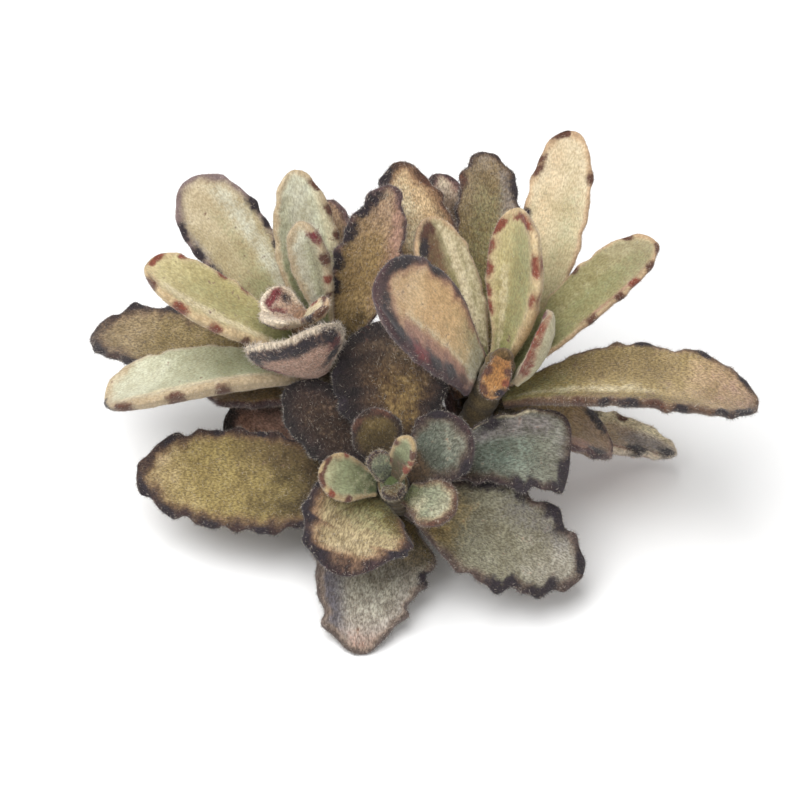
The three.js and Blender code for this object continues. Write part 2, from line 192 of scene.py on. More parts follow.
# Washes of colour that lie over a part of one blade; brown and dark also serve as painted shade at the bases of
# leaves
TINTS = {
    "pale": "#DCD2B8",
    # brown: the leaf's own brown, and painted shade across the bases of leaves
    "brown_and_shade": "#54402C",
    "lilac": "#817A7E",
    "navy": "#625E68",
    "green": "#828A64",
    "gold": "#B09660",
    "rose": "#A88478",
    "peach": "#DCB890",
    "silver": "#C4C4B8",
    "teal": "#62756D",
    "amber": "#A4733E",
    "russet": "#6A4A36",
    # dark: painted shade across the bases of front_11 and front_12, and the leaf's own dark elsewhere
    "dark": "#33282E",
}
# Pigment spots on the rims
SPOTS = {"umber": "#5A3A2E", "rust": "#7E4232", "crimson": "#702E34", "plum": "#261D26"}
HALO = "#DCD0C0"  # the pale fringe of the coat

TOOTH_SPOT = 4.5  # length of the dark spot on each tooth of a dark margin
PLAIN_COAT = dict(
    rim=0.15, below=None, drop=(0.4, 0.4), spots=[], tints=[], shift=0, tooth=TOOTH_SPOT, pile=1,
)
SMOOTH_FELTS = ("mint_felt", "apple_felt", "fern_felt", "cream_felt", "beige_felt", "fresh_felt", "peach_felt")
DARK_MARGINED = (
    "olive_felt", "straw_felt", "slate_felt", "teal_felt", "bronze_felt", "khaki_felt", "beige_felt",
    "gold_felt",
)


def wears(finish, left, right, tip, **rest):
    """What one leaf wears: its finish, the widths of its margin in mm, and what differs from a plain coat."""
    return dict(PLAIN_COAT, finish=finish, margin=(left, right, tip), **rest)


# Left and right are seen from the base, on the upper face.
# below: width of the margin on the underside. rim: height of the rolled rim. tooth: length of the spot on
# each tooth. pile: how long the hairs are against the usual felt. shift: how far on towards the tip the leaf's
# colours are; a negative shift widens the dark base, which is partly painted shade.
# drop: height of the spots' middle on the left and on the right, in mm inwards from the rim on the upper
# face, or on the underside if negative.
# spots: side, pigment, then for each spot its share of the leaf's length and its own length in mm.
# tints: wash, its middle and half width across the blade (1 is the left rim), where along the blade it
# starts and ends, and its strength.
# Painted shade where the leaves run in among the others: the brown washes across the whole blade from the base
# of front_1, front_3, front_4, front_7, front_8 and left_6, front_1's brown towards the base on its right, and
# the dark ones at the bases of front_11 and front_12.
PAINT = {
    "front_1": wears("olive_felt", 1.9, 1.4, 2.4, shift=-0.2,
        spots=[("left", "plum", (0.3, 3), (0.95, 4)), ("right", "plum", (0.5, 3), (0.68, 3))],
        tints=[("brown_and_shade", -0.7, 0.5, -0.1, 0.62, 0.6), ("brown_and_shade", 0, 1.2, -0.1, 0.34, 0.6)]),
    "front_2": wears("dove_felt", 0.8, 1, 0.9, spots=[("left", "plum", (0.42, 5)), ("right", "plum", (0.3, 4))],
        tints=[("navy", -0.9, 0.5, 0.1, 0.9, 1), ("rose", 0.1, 1, 0.84, 1.1, 0.6),
               ("gold", 0.2, 0.8, -0.1, 0.4, 0.4), ("silver", 0.1, 0.6, 0.4, 0.85, 0.5)]),
    "front_3": wears("straw_felt", 2, 2, 2.8, shift=-0.12, spots=[("right", "plum", (0.3, 3))],
        tints=[("green", 0, 0.6, -0.1, 0.5, 0.5), ("brown_and_shade", 0, 1.2, -0.1, 0.16, 0.6)]),
    "front_4": wears("slate_felt", 1, 1.2, 1.5, drop=(0.9, 0.9), tooth=7.5,
        spots=[("left", "plum", (0.32, 7), (0.96, 6))],
        tints=[("gold", -0.2, 0.9, -0.1, 0.34, 0.6), ("navy", 0.6, 0.4, 0.4, 0.9, 0.5),
               ("brown_and_shade", 0, 1.2, -0.1, 0.2, 0.5)]),
    "front_5": wears("sage_felt", 1, 1.1, 1.3, spots=[("right", "umber", (0.8, 2))],
        tints=[("pale", -0.3, 0.5, 0, 0.5, 0.45)]),
    "front_6": wears("fresh_felt", 0.8, 0.8, 0.9, rim=0.3, shift=-0.05,
        spots=[("left", "umber", (0.5, 1.7), (0.97, 1.5)), ("left", "rust", (0.8, 1.7)),
               ("right", "umber", (0.9, 1.7)), ("right", "rust", (0.6, 1.5))],
        tints=[("pale", 0, 0.7, -0.1, 0.5, 0.25)]),
    "front_7": wears("moss_felt", 1, 1, 1.4, spots=[("right", "umber", (0.9, 3)), ("left", "umber", (0.86, 3))],
        tints=[("brown_and_shade", 0, 1.2, -0.1, 0.5, 0.5)]),
    "front_8": wears("teal_felt", 1.4, 1.8, 2, spots=[("left", "plum", (0.8, 4)), ("right", "plum", (0.7, 4))],
        tints=[("pale", 0, 0.5, 0.45, 0.9, 0.1), ("brown_and_shade", 0, 1, -0.1, 0.36, 0.8)]),
    "front_9": wears("teal_felt", 0.3, 1.2, 1, drop=(1.3, 1.1), tooth=6,
        spots=[("left", "plum", (0.34, 4.5), (0.56, 5)), ("right", "plum", (0.97, 6))],
        tints=[("lilac", 0.62, 0.3, 0.1, 0.95, 0.7), ("teal", -0.1, 0.5, 0.46, 0.84, 0.5),
               ("brown_and_shade", -0.45, 0.7, -0.1, 0.42, 1), ("dark", -0.7, 0.3, 0, 0.38, 0.7),
               ("pale", 0.98, 0.1, 0.1, 0.95, 0.9), ("lilac", 0, 1, 0.88, 1.1, 0.6)]),
    "front_10": wears("night_felt", 1.6, 1.4, 2.2, spots=[("left", "plum", (0.8, 5))],
        tints=[("rose", 0.1, 0.8, 0.2, 1.1, 0.8), ("lilac", -0.5, 0.4, 0.3, 1, 0.6)]),
    "front_11": wears("dusk_felt", 5.2, 2.8, 3.2, pile=1.3,
        spots=[("left", "plum", (0.5, 6), (0.75, 6)), ("right", "plum", (0.8, 5))],
        tints=[("gold", -0.2, 0.4, 0.25, 0.7, 0.45), ("dark", 0, 1.2, -0.1, 0.22, 0.9),
               ("dark", 0.9, 0.3, -0.1, 1.1, 0.9)]),
    "front_12": wears("night_felt", 1.8, 1.8, 2.2, pile=1.2,
        tints=[("brown_and_shade", -0.1, 0.5, 0.3, 0.85, 0.3), ("dark", 0, 1.2, -0.1, 0.4, 0.7)]),
    "left_1": wears("beige_felt", 0.9, 0.9, 1.2, tooth=5,
        spots=[("left", "plum", (0.56, 5), (0.68, 4)), ("right", "plum", (0.5, 4), (0.62, 3))],
        tints=[("silver", -0.5, 0.24, 0.2, 0.95, 0.8), ("green", 0, 0.7, 0, 0.5, 0.6),
               ("lilac", 0.92, 0.22, 0.35, 1, 0.7), ("lilac", -0.95, 0.16, 0.4, 1, 0.5),
               ("green", -0.1, 0.2, 0.3, 0.85, 0.4)]),
    "left_2": wears("mint_felt", 0.7, 0.8, 0.8, rim=0.25,
        spots=[("right", "umber", (0.9, 3), (0.74, 3.4), (0.58, 2.6))],
        tints=[("green", 0.4, 0.7, 0, 0.55, 0.7), ("silver", 0, 0.45, 0.45, 1, 0.7),
               ("pale", -0.75, 0.2, 0.3, 0.95, 0.6)]),
    "left_3": wears("umber_felt", 0.7, 0.7, 0.9, spots=[("left", "plum", (0.8, 4))]),
    "left_4": wears("mint_felt", 1.1, 1.1, 1.2, rim=0.35, drop=(0.8, 0.8), pile=1.2,
        spots=[("right", "crimson", (0.86, 3.4)), ("right", "umber", (0.64, 3.8), (0.28, 2)),
               ("right", "rust", (0.44, 2.4))],
        tints=[("silver", 0.6, 0.6, -0.1, 1.1, 1), ("brown_and_shade", -0.35, 0.26, 0.15, 0.95, 0.5),
               ("pale", -0.95, 0.15, 0, 1, 0.8)]),
    "left_5": wears("apple_felt", 1.9, 0.9, 1.5, rim=0.4, below=2.4, drop=(-0.3, 0.7),
        spots=[("left", "rust", (0.74, 4.4), (0.5, 3.6)), ("left", "umber", (0.94, 2.8), (0.3, 2.4)),
               ("right", "rust", (0.96, 2.4), (0.82, 2.2), (0.56, 3.2), (0.4, 2.6))],
        tints=[("pale", 0.55, 0.16, 0.1, 0.95, 0.9), ("green", -0.1, 0.4, 0.2, 0.8, 0.35),
               ("rose", 0.98, 0.12, 0.75, 1, 0.7)]),
    "left_6": wears("bronze_felt", 1.7, 1.7, 2.3,
        spots=[("right", "plum", (0.5, 4)), ("left", "plum", (0.55, 4))],
        tints=[("brown_and_shade", 0.4, 0.6, 0, 0.6, 0.5), ("brown_and_shade", 0, 1.2, -0.1, 0.5, 0.35)]),
    "left_7": wears("mint_felt", 1.5, 0.8, 1.8, rim=0.45, below=3.6, drop=(-0.6, 0.6),
        spots=[("left", "umber", (0.88, 5), (0.62, 4.6), (0.4, 3.6)), ("left", "plum", (0.99, 5))],
        tints=[("pale", 0.72, 0.16, 0.1, 0.95, 0.9), ("green", 0.1, 0.6, 0, 0.5, 0.5),
               ("green", 0.3, 0.3, 0.4, 0.8, 0.25)]),
    "left_8": wears("blush_felt", 0.7, 0.7, 0.8, rim=0.3, below=0.5, drop=(-2.2, -2), pile=1.6,
        spots=[("left", "plum", (0.84, 9), (0.4, 5)), ("right", "plum", (0.76, 8), (0.95, 7)),
               ("right", "crimson", (0.45, 5)), ("left", "crimson", (0.6, 5))],
        tints=[("pale", 0, 1.3, 0.1, 0.95, 0.8)]),
    "left_9": wears("umber_felt", 0.8, 0.5, 1, drop=(1, 1), pile=1.4,
        spots=[("left", "plum", (0.86, 7), (0.68, 6), (0.5, 5), (0.36, 5))],
        tints=[("rose", -0.8, 0.4, 0.3, 1, 0.8), ("pale", 0.2, 1, 0.93, 1.1, 0.7),
               ("gold", -0.1, 0.4, 0.3, 0.8, 0.3)]),
    "left_10": wears("umber_felt", 0.6, 0.6, 0.8),
    "left_11": wears("bronze_felt", 2, 2, 2.4,
        spots=[("left", "plum", (0.6, 4)), ("right", "plum", (0.74, 4))]),
    "left_12": wears("olive_felt", 2.2, 2.2, 2.6,
        spots=[("left", "plum", (0.66, 4)), ("right", "plum", (0.5, 4))]),
    "right_1": wears("gold_felt", 1.7, 1.1, 1.8, pile=1.2,
        spots=[("left", "umber", (0.45, 6)), ("left", "plum", (0.66, 6), (0.93, 6)),
               ("right", "umber", (0.9, 4))],
        tints=[("brown_and_shade", 0.85, 0.28, 0.2, 0.95, 0.85), ("pale", 0.15, 0.4, 0.5, 0.95, 0.7),
               ("brown_and_shade", -0.8, 0.22, 0.5, 1, 0.6)]),
    "right_2": wears("rose_felt", 1.8, 1.8, 1.2,
        spots=[("left", "plum", (0.92, 5)), ("right", "plum", (0.9, 5))],
        tints=[("brown_and_shade", 0, 1.4, -0.1, 0.93, 1), ("pale", 0, 0.6, 0.92, 1.1, 0.8)]),
    "right_3": wears("bronze_felt", 0.5, 0.7, 0.9, tooth=6,
        spots=[("right", "plum", (0.56, 5)), ("left", "umber", (0.85, 4))],
        tints=[("lilac", -0.75, 0.4, 0.5, 1, 0.7), ("green", 0, 0.6, 0.3, 0.9, 0.45),
               ("lilac", 0, 1, 0.88, 1.1, 0.5)]),
    "right_4": wears("cream_felt", 0.8, 0.5, 0.9, rim=0.2,
        spots=[("left", "umber", (0.86, 5), (0.99, 4), (0.52, 3)), ("left", "plum", (0.66, 5)),
               ("right", "umber", (0.84, 3))],
        tints=[("peach", 0.35, 0.4, 0.2, 1, 0.35), ("green", -0.45, 0.4, 0.1, 0.85, 0.4),
               ("green", 0, 1, -0.1, 0.35, 0.35), ("rose", -0.97, 0.1, 0.5, 1, 0.8)]),
    "right_5": wears("apple_felt", 1.8, 1.4, 1.4, rim=0.5, drop=(0.9, 0.9),
        spots=[("left", "rust", (0.9, 3.6), (0.76, 4), (0.61, 4.6), (0.46, 3.4), (0.33, 3)),
               ("right", "rust", (0.93, 3), (0.7, 4.4), (0.5, 3.4))],
        tints=[("pale", 0.3, 0.2, -0.1, 0.7, 0.6), ("green", -0.25, 0.5, 0.2, 0.95, 0.6)]),
    "right_6": wears("fern_felt", 0.5, 0.6, 0.9, rim=0.3, drop=(2.2, 0.4),
        spots=[("left", "umber", (0.94, 7)), ("left", "plum", (0.82, 5))],
        tints=[("russet", 0.25, 0.42, 0.02, 1.1, 0.85), ("pale", -0.44, 0.16, 0, 0.98, 1),
               ("pale", -0.8, 0.2, 0.1, 1, 0.7)]),
    "right_7": wears("fern_felt", 0.4, 0.35, 0.9, rim=0.25, below=1, drop=(0.4, 0.1),
        spots=[("right", "umber", (0.97, 2.8), (0.88, 3.2), (0.67, 2.2), (0.5, 2.8)),
               ("right", "rust", (0.77, 2.6)), ("left", "umber", (0.9, 2.4), (0.6, 2.4))],
        tints=[("green", 0, 1.2, -0.1, 0.45, 0.5), ("pale", 0.25, 0.16, 0.3, 0.95, 0.35),
               ("rose", -0.9, 0.14, 0.4, 1, 0.7), ("rose", 0.95, 0.1, 0.5, 1, 0.6),
               ("green", -0.2, 0.5, 0.4, 0.95, 0.5)]),
    "right_8": wears("mint_felt", 0.8, 0.7, 0.9, rim=0.3, below=0.4, drop=(0.7, 0.8),
        spots=[("right", "rust", (0.26, 4.4), (0.42, 4.4), (0.58, 4.4), (0.74, 4.4), (0.9, 4.4)),
               ("left", "rust", (0.6, 4)), ("left", "crimson", (0.85, 4))],
        tints=[("pale", 0, 1.2, -0.1, 1.1, 1)]),
    "right_9": wears("peach_felt", 4.6, 1.8, 2.8, rim=0.4, below=1.2, drop=(2.2, 0.8), pile=1.3,
        spots=[("left", "plum", (0.86, 8), (0.46, 7), (0.28, 7)), ("left", "crimson", (0.62, 7), (0.56, 5)),
               ("left", "umber", (0.1, 4)), ("right", "plum", (0.85, 7), (0.6, 5))],
        tints=[("rose", 0.6, 0.3, 0.02, 0.8, 1), ("pale", 0.26, 0.1, 0.05, 0.8, 0.8),
               ("rose", 0, 1, 0.7, 0.95, 0.3), ("silver", 0, 1.2, -0.1, 0.14, 0.7)]),
    "right_10": wears("khaki_felt", 0.8, 1.1, 1.2, below=1.1, drop=(0.6, 0.2), tooth=3.6,
        spots=[("right", "plum", (0.5, 5), (0.94, 5), (0.4, 3)), ("right", "umber", (0.6, 4), (0.3, 3)),
               ("left", "plum", (0.93, 4))],
        tints=[("pale", -0.42, 0.16, 0, 0.6, 0.8), ("brown_and_shade", 0.4, 0.6, 0.1, 0.7, 0.55),
               ("rose", 0.1, 1, 0.72, 1.1, 0.45), ("lilac", 0.1, 1, 0.84, 1.1, 0.4),
               ("green", -0.1, 0.8, -0.1, 0.3, 0.5), ("brown_and_shade", -0.75, 0.2, 0.1, 0.8, 0.5)]),
    "right_11": wears("blush_felt", 0.3, 0.4, 0.5, drop=(1.2, 1.2),
        spots=[("left", "plum", (0.55, 6)), ("left", "umber", (0.72, 3)),
               ("right", "plum", (0.76, 7), (0.93, 6))],
        tints=[("pale", 0.8, 0.4, 0.5, 1.1, 1), ("gold", -0.1, 0.6, 0.3, 0.7, 0.6),
               ("lilac", -0.2, 0.5, 0.66, 1, 0.8), ("rose", -0.95, 0.2, 0.4, 1.1, 0.9)]),
    "right_12": wears("moss_felt", 1.8, 1.8, 2.2),
    "right_13": wears("olive_felt", 2, 2, 2.6, spots=[("left", "plum", (0.6, 4))]),
    "right_14": wears("umber_felt", 0.4, 0.5, 0.7, drop=(1.4, 1.4),
        spots=[("left", "plum", (0.3, 5), (0.5, 6), (0.8, 6)), ("right", "plum", (0.82, 6))],
        tints=[("lilac", 0.3, 0.5, 0.6, 0.88, 0.4), ("rose", -0.9, 0.4, 0.3, 1.1, 1),
               ("rose", 0, 1.2, 0.93, 1.1, 1), ("gold", 0.2, 0.5, -0.1, 0.5, 0.4)]),
}
# The front bud's leaves, the first three, are painted darker, partly as painted shade where the bud sits deep
# among the front rosette: a brown wash and a wider dark base on the first, and dark felts on the other two.
YOUNG_PAINT = [  # in the order of BUD_LEAVES
    wears("fresh_felt", 0.6, 0.6, 0.7, rim=0.25, shift=-0.3,
        spots=[("left", "umber", (0.8, 1.8), (0.4, 1.8)), ("right", "umber", (0.75, 2.4)),
               ("right", "rust", (0.4, 2.4), (0.58, 1.8))],
        tints=[("brown_and_shade", 0, 1, -0.1, 0.6, 0.7)]),
    wears("teal_felt", 0.4, 0.4, 0.6, rim=0.2, tints=[("green", 0, 1, 0.2, 1, 0.4)]),
    wears("moss_felt", 0.5, 0.5, 0.6),
    wears("blush_felt", 0.9, 0.9, 1, rim=0.35, below=0.6, drop=(2, 2), pile=1.3,
        spots=[("left", "crimson", (0.5, 4), (0.84, 4)), ("right", "crimson", (0.84, 4.4)),
               ("right", "plum", (0.5, 3))],
        tints=[("rose", 0, 0.5, 0, 0.8, 0.4)]),
    wears("blush_felt", 0.6, 0.6, 0.7, rim=0.3, below=0.6, drop=(-1.4, -1.4), pile=1.3,
        spots=[("left", "crimson", (0.5, 3)), ("left", "plum", (0.85, 3)), ("right", "plum", (0.6, 3))]),
    wears("cream_felt", 0.9, 0.9, 1, rim=0.3, below=0.9, drop=(0.6, 0.6), pile=1.5,
        spots=[("right", "umber", (0.3, 3), (0.9, 3.4)), ("right", "plum", (0.6, 3.4)),
               ("left", "umber", (0.8, 2.4)), ("left", "rust", (0.4, 2.4))],
        tints=[("pale", 0, 1, 0, 1.1, 0.7)]),
    wears("gold_felt", 0.3, 0.3, 0.3, below=0.3, drop=(0.8, 0.8),
        spots=[("left", "umber", (0.4, 2.4)), ("right", "umber", (0.5, 2.6), (0.85, 2.4)),
               ("left", "plum", (0.8, 2.4)), ("left", "rust", (0.6, 1.6))],
        tints=[("amber", 0, 1.2, -0.1, 1.1, 0.85)]),
]

# ---------- Numbers for the fine surface ----------

STATIONS, RING_POINTS = 68, 40  # points along a leaf and round it
SHORT_STATIONS, SHORT_RING_POINTS = 34, 32
SHORT_LEAF = 20  # below this length a leaf has fewer points
BUD_STATIONS, BUD_RING_POINTS = 36, 28
BUD_SEED = 30  # far from the seeds of the other leaves
LEAF_SEED_STEP = 1.7
STATION_CROWDING = 1.35  # how much closer the stations stand towards the tip
LAST_STATION = 0.9985
SEATING = 0.5  # how far a base runs into the shoot

PUCKER = 0.10  # height of the skin's soft unevenness
WIDE_PUCKERS = (1.26, 1.02)  # radians for each mm across and along the blade
FINE_PUCKERS = (2.2, 1.8)
FINE_SHARE = 0.6
RIM_ROLL = (0.84, 0.12)  # where across the half blade the rim's roll lies, and how wide it is
TIP_SETTLING = 12  # the unevenness dies out over the last twelfth

# The rim waves in and out between its teeth
RIPPLE = {"rough": 0.42, "smooth": 0.2}
RIPPLE_LENGTH = 7.5
RIPPLE_START = (0.12, 0.4)  # shares of the length over which it sets in
SECOND_RIPPLE = (0.7, 1.7)  # height and rate against the first
LIFT_RATE = 0.6  # rate of its up and down against its in and out
RIPPLED_RIM = 6  # how closely it keeps to the rim
RIPPLED_LENGTH = 40  # length of a leaf that has all of it

# The paint, in shares of the length or of the half width, from and to
SIDES_MEET = (-0.35, 0.35)
TIP_MARGIN = (0.72, 0.95)  # where the side's margin becomes the tip's
MARGIN_START = (0.05, 0.4)  # where the margin widens from half its width
MARGIN_START_BELOW = (0.0, 0.3)
TINT_EDGE = (0.08, 0.12)
WAVE = 6.3  # radians in one wave, near enough
MOTTLE = (6.5, 3.7, 4.6)  # wavelengths in mm at which a margin narrows and fades
MOTTLE_DEPTH = 0.16
SOFT_EDGE = 1.5  # a wash or spot is full to half its reach and ends at one and a half
SPOT_REACH = (0.5, 0.2)  # a spot's reach across the rim: in mm, and for each mm of its length
MAP_BORDER = 0.01  # of the map, for the two ends of a leaf
UNDERSIDE_SHIFT = 40  # in mm, so that the grain differs on the two faces
MASKS = ("rim", "base_to_tip", "underside", *TINTS, *SPOTS)
BARE = 3.0  # the rim's mask where there is no margin

HAIRS_PER_MM2 = 5.8
SMOOTH_SHARE = 0.7  # of the hairs, and of their length, that smooth felt shows
HAIR_LENGTH = (0.35, 0.75)
HAIR_RADIUS = 0.036
HAIR_ROOT = 0.12  # how far a hair is rooted in the skin
RIM_HAIR = 1.25  # how long the rim's hairs are against the others
FACE_LEAN = (0.75, 1.4)  # radians away from the skin's normal: matted on the faces,
RIM_LEAN = (0.3, 1.25)  # and standing on the rim
RIM_BAND = 0.7  # how far in from the edge the hairs stand
HAIR_TWIST = 1.5  # scatter in radians round the normal
NUDGE_AHEAD, NUDGE_ROUND = 0.004, 0.03  # share of the length and radians, to find which way the skin lies
HAIR_GRID = (60, 40)  # cells along and round the leaf, in which the hairs are scattered by area
RIM_THICKENING = (0.7, 1.6)  # how much denser the coat is on the rim, and how far in that reaches
SPARSE_FACE = -0.3  # below this height of the section
SPARSE_SHARE = 0.6  # the coat is thinner
FLOOR_CLEARANCE = 0.05

STRAYS = {"smooth": 0.4, "rough": 1.0}  # how many stray hairs a felt has, as a share of
PALE_STRAYS, DARK_STRAYS = 0.2, 0.14  # these shares of its hairs
BARE_BASE = 0.12  # share of the length before which none is pale
BASE_TO_TIP_SCATTER = {"smooth": 0.07, "rough": 0.16}
MIDDLE_FROM, TIP_FROM = 0.21, 0.72  # base_to_tip at which the middle's and the tip's colour start; before it a hair has the dark base colour, partly painted shade
UNDER_FACE, UNDER_SHARE = -0.2, 0.9  # height of the section below which this share has the underside's colour
RAGGEDNESS = 0.22  # scatter of a mask from hair to hair,
RIM_RAGGEDNESS, SPOT_RAGGEDNESS = 1.8, 1.4  # and how much more the rim and the spots have of it
FAINTEST, TINT_FROM, SPOT_FROM = 0.1, 0.55, 0.6  # strengths from which a wash or a spot colours hairs
BLUSH_DEPTH, MARGIN_DEPTH = 1.35, 0.9  # in widths of the margin
MARGIN_SHARE, SPOT_SHARE = 0.85, 0.9  # of the hairs there that are dark
FACE_HALO, RIM_HALO, PILE_HALO = 0.012, 0.14, 0.1  # shares of pale hairs: everywhere, on the rim, in long pile
HALO_START = 0.25  # share of the length after which there are as many

CORNER = 0.25  # share of the lower part of a branch that its bend takes up
SLIMMING = 5.0  # length after the bend over which a branch narrows to a shoot
SCAR_HEIGHT = 0.12
SCAR_SPACING = 3.4
STEM_TOP_COLOUR_HEIGHT = 48  # where the stem has its topmost colour


def unit(v):
    return v / np.linalg.norm(v, axis=-1, keepdims=True)


def smooth(low, high, x):
    t = np.clip((x - low) / (high - low), 0, 1)
    return t * t * (3 - 2 * t)


def bell(x, middle, width):
    return np.exp(-(((x - middle) / width) ** 2))


def linear(code):
    """An sRGB hex colour as linear red, green and blue."""
    srgb = [int(code[i : i + 2], 16) / 255 for i in (1, 3, 5)]
    return [c / 12.92 if c <= 0.04045 else ((c + 0.055) / 1.055) ** 2.4 for c in srgb]


def mixed(code_a, code_b, share):
    """A linear colour part of the way from one hex colour to another."""
    return [a + (b - a) * share for a, b in zip(linear(code_a), linear(code_b))]


def felt_kind(leaf):
    return "smooth" if leaf["paint"]["finish"] in SMOOTH_FELTS else "rough"


# ---------- The leaf's surface, by the same formulae as the solids ----------


def shoot_point(branch, below):
    """A shoot's direction, and the point of its axis at a distance below its top."""
    bend, top = (np.array(p, float) for p in BRANCHES[branch][1:])
    axis = unit(top - bend)
    return axis, top - axis * below


def base_frame(leaf):
    """Where the leaf starts, and its directions there: along, up and left."""
    axis, point = shoot_point(leaf["branch"], leaf["below"])
    heading, rise, roll = (math.radians(leaf[key]) for key in ("heading", "rise", "roll"))
    along = np.array([math.cos(heading) * math.cos(rise), math.sin(heading) * math.cos(rise), math.sin(rise)])
    lean = along @ axis
    out = unit(along - axis * lean)
    half_base = leaf["thick"] / 2 * BASE_THICKNESS * LOWER_SHARE
    reach = leaf.get("reach", SHOOT_RADIUS + SEAT_GAP + half_base * abs(lean))
    up = unit(axis - along * lean)
    left = np.cross(up, along)
    up = up * math.cos(roll) + left * math.sin(roll)
    return point + out * reach, along, up, np.cross(up, along)


def outline(leaf, s, teeth):
    """Half the blade's width on one side, as a share of its full half width."""
    s = np.maximum(s, 0)
    past = np.clip((s - leaf["wide"]) / (1 - leaf["wide"]), 0, 1)
    rise = np.sin(math.pi / 2 * np.minimum(s / leaf["wide"], 1)) ** NECK_POWER
    widening = leaf["neck"] + (1 - leaf["neck"]) * rise
    body = np.where(s <= leaf["wide"], widening, np.sqrt(1 - past ** leaf["blunt"]))
    tooth = np.zeros_like(s)
    for c in teeth:
        tooth += bell(s, c, np.where(s < c, TOOTH_RISE, TOOTH_FALL))
    return body + leaf["bite"] * tooth * np.minimum(1, (1 - s) / TOOTH_FADE)


def half_blade(leaf, s, x):
    """Half the blade's width in mm, on the side of x."""
    left, right = outline(leaf, s, leaf["left"]), outline(leaf, s, leaf["right"])
    return np.where(x >= 0, left, right) * leaf["width"] / 2


def frames(leaf, s):
    """The middle of the section at shares s of the length, and its directions: ahead, sideways and up."""
    start, along, up, left = base_frame(leaf)
    bend = math.radians(leaf["curl"]) * s[..., None]
    safe = np.where(np.abs(bend) < 1e-6, 1e-6, bend)
    sweep = math.radians(leaf["sweep"])
    run = leaf["length"] * s[..., None]
    centre = start + along * run * np.sin(safe) / safe + up * run * (1 - np.cos(safe)) / safe
    centre = centre + left * (sweep * run * s[..., None] / 2)
    ahead = unit(along * np.cos(bend) + up * np.sin(bend) + left * sweep * s[..., None])
    flat_up = up * np.cos(bend) - along * np.sin(bend)
    side = unit(np.cross(flat_up, ahead))
    return centre, ahead, side, np.cross(ahead, side)


def rim_ripple(leaf, s, x):
    """How far the rim waves outwards and upwards."""
    phase = 2 * math.pi * leaf["length"] * s / RIPPLE_LENGTH + 3 * leaf["seed"] + 2 * (x > 0)
    height, rate = SECOND_RIPPLE
    ripple = np.sin(phase) + height * np.sin(rate * phase + leaf["seed"])
    ripple = ripple * smooth(*RIPPLE_START, s) * x**RIPPLED_RIM
    ripple = ripple * RIPPLE[felt_kind(leaf)] * min(1, leaf["length"] / RIPPLED_LENGTH)
    return ripple * np.sign(x), ripple * np.sin(LIFT_RATE * phase)


def skin(leaf, s, turn):
    """Points of the skin at shares s of the length and angles turn round the section, and what paint needs."""
    cos, sin = np.cos(turn), np.sin(turn)
    x = np.sign(cos) * np.abs(cos) ** (2 / SECTION_POWER)
    face = np.sign(sin) * np.abs(sin) ** (2 / SECTION_POWER)
    half_width = half_blade(leaf, s, x)
    taper = np.maximum(LEAST_TAPER, np.sqrt(np.clip(1 - np.maximum(s, 0) ** TAPER_POWER, 0, 1)))
    half = leaf["thick"] / 2 * np.minimum(1, BASE_THICKNESS + (1 - BASE_THICKNESS) * s / THICKENING) * taper
    depth = half * face * np.where(face > 0, UPPER_SHARE, LOWER_SHARE)
    lift = leaf["fold"] * half_width * np.minimum(1, BASE_FOLD + (1 - BASE_FOLD) * s / UNFOLDING) * x * x
    across = x * half_width
    run = leaf["length"] * s

    phase = leaf["seed"]
    wide_wave = np.sin(across * WIDE_PUCKERS[0] + phase) * np.sin(run * WIDE_PUCKERS[1] + 2 * phase)
    fine_wave = np.sin(across * FINE_PUCKERS[0] + run * FINE_PUCKERS[1] + 3 * phase)
    relief = PUCKER * (wide_wave + FINE_SHARE * fine_wave)
    relief = relief + leaf["paint"]["rim"] * bell(np.abs(x), *RIM_ROLL) * (face > 0)
    depth = depth + relief * np.minimum(1, TIP_SETTLING * (1 - s)) * face
    outwards, upwards = rim_ripple(leaf, s, x)
    across = across + outwards
    centre, _, side, up = frames(leaf, s)
    points = centre + side * across[..., None] + up * (depth + lift + upwards)[..., None]

    step = 0.01  # share of the length over which the rim's slant is measured
    slope = (half_blade(leaf, s + step, x) - half_width) / (step * leaf["length"])
    edge = np.minimum((1 - np.abs(x)) * half_width / np.hypot(1, slope), (1 - s) * leaf["length"])
    return points, dict(s=s, x=x, face=face, edge=np.maximum(edge, 0), run=run, across=across)


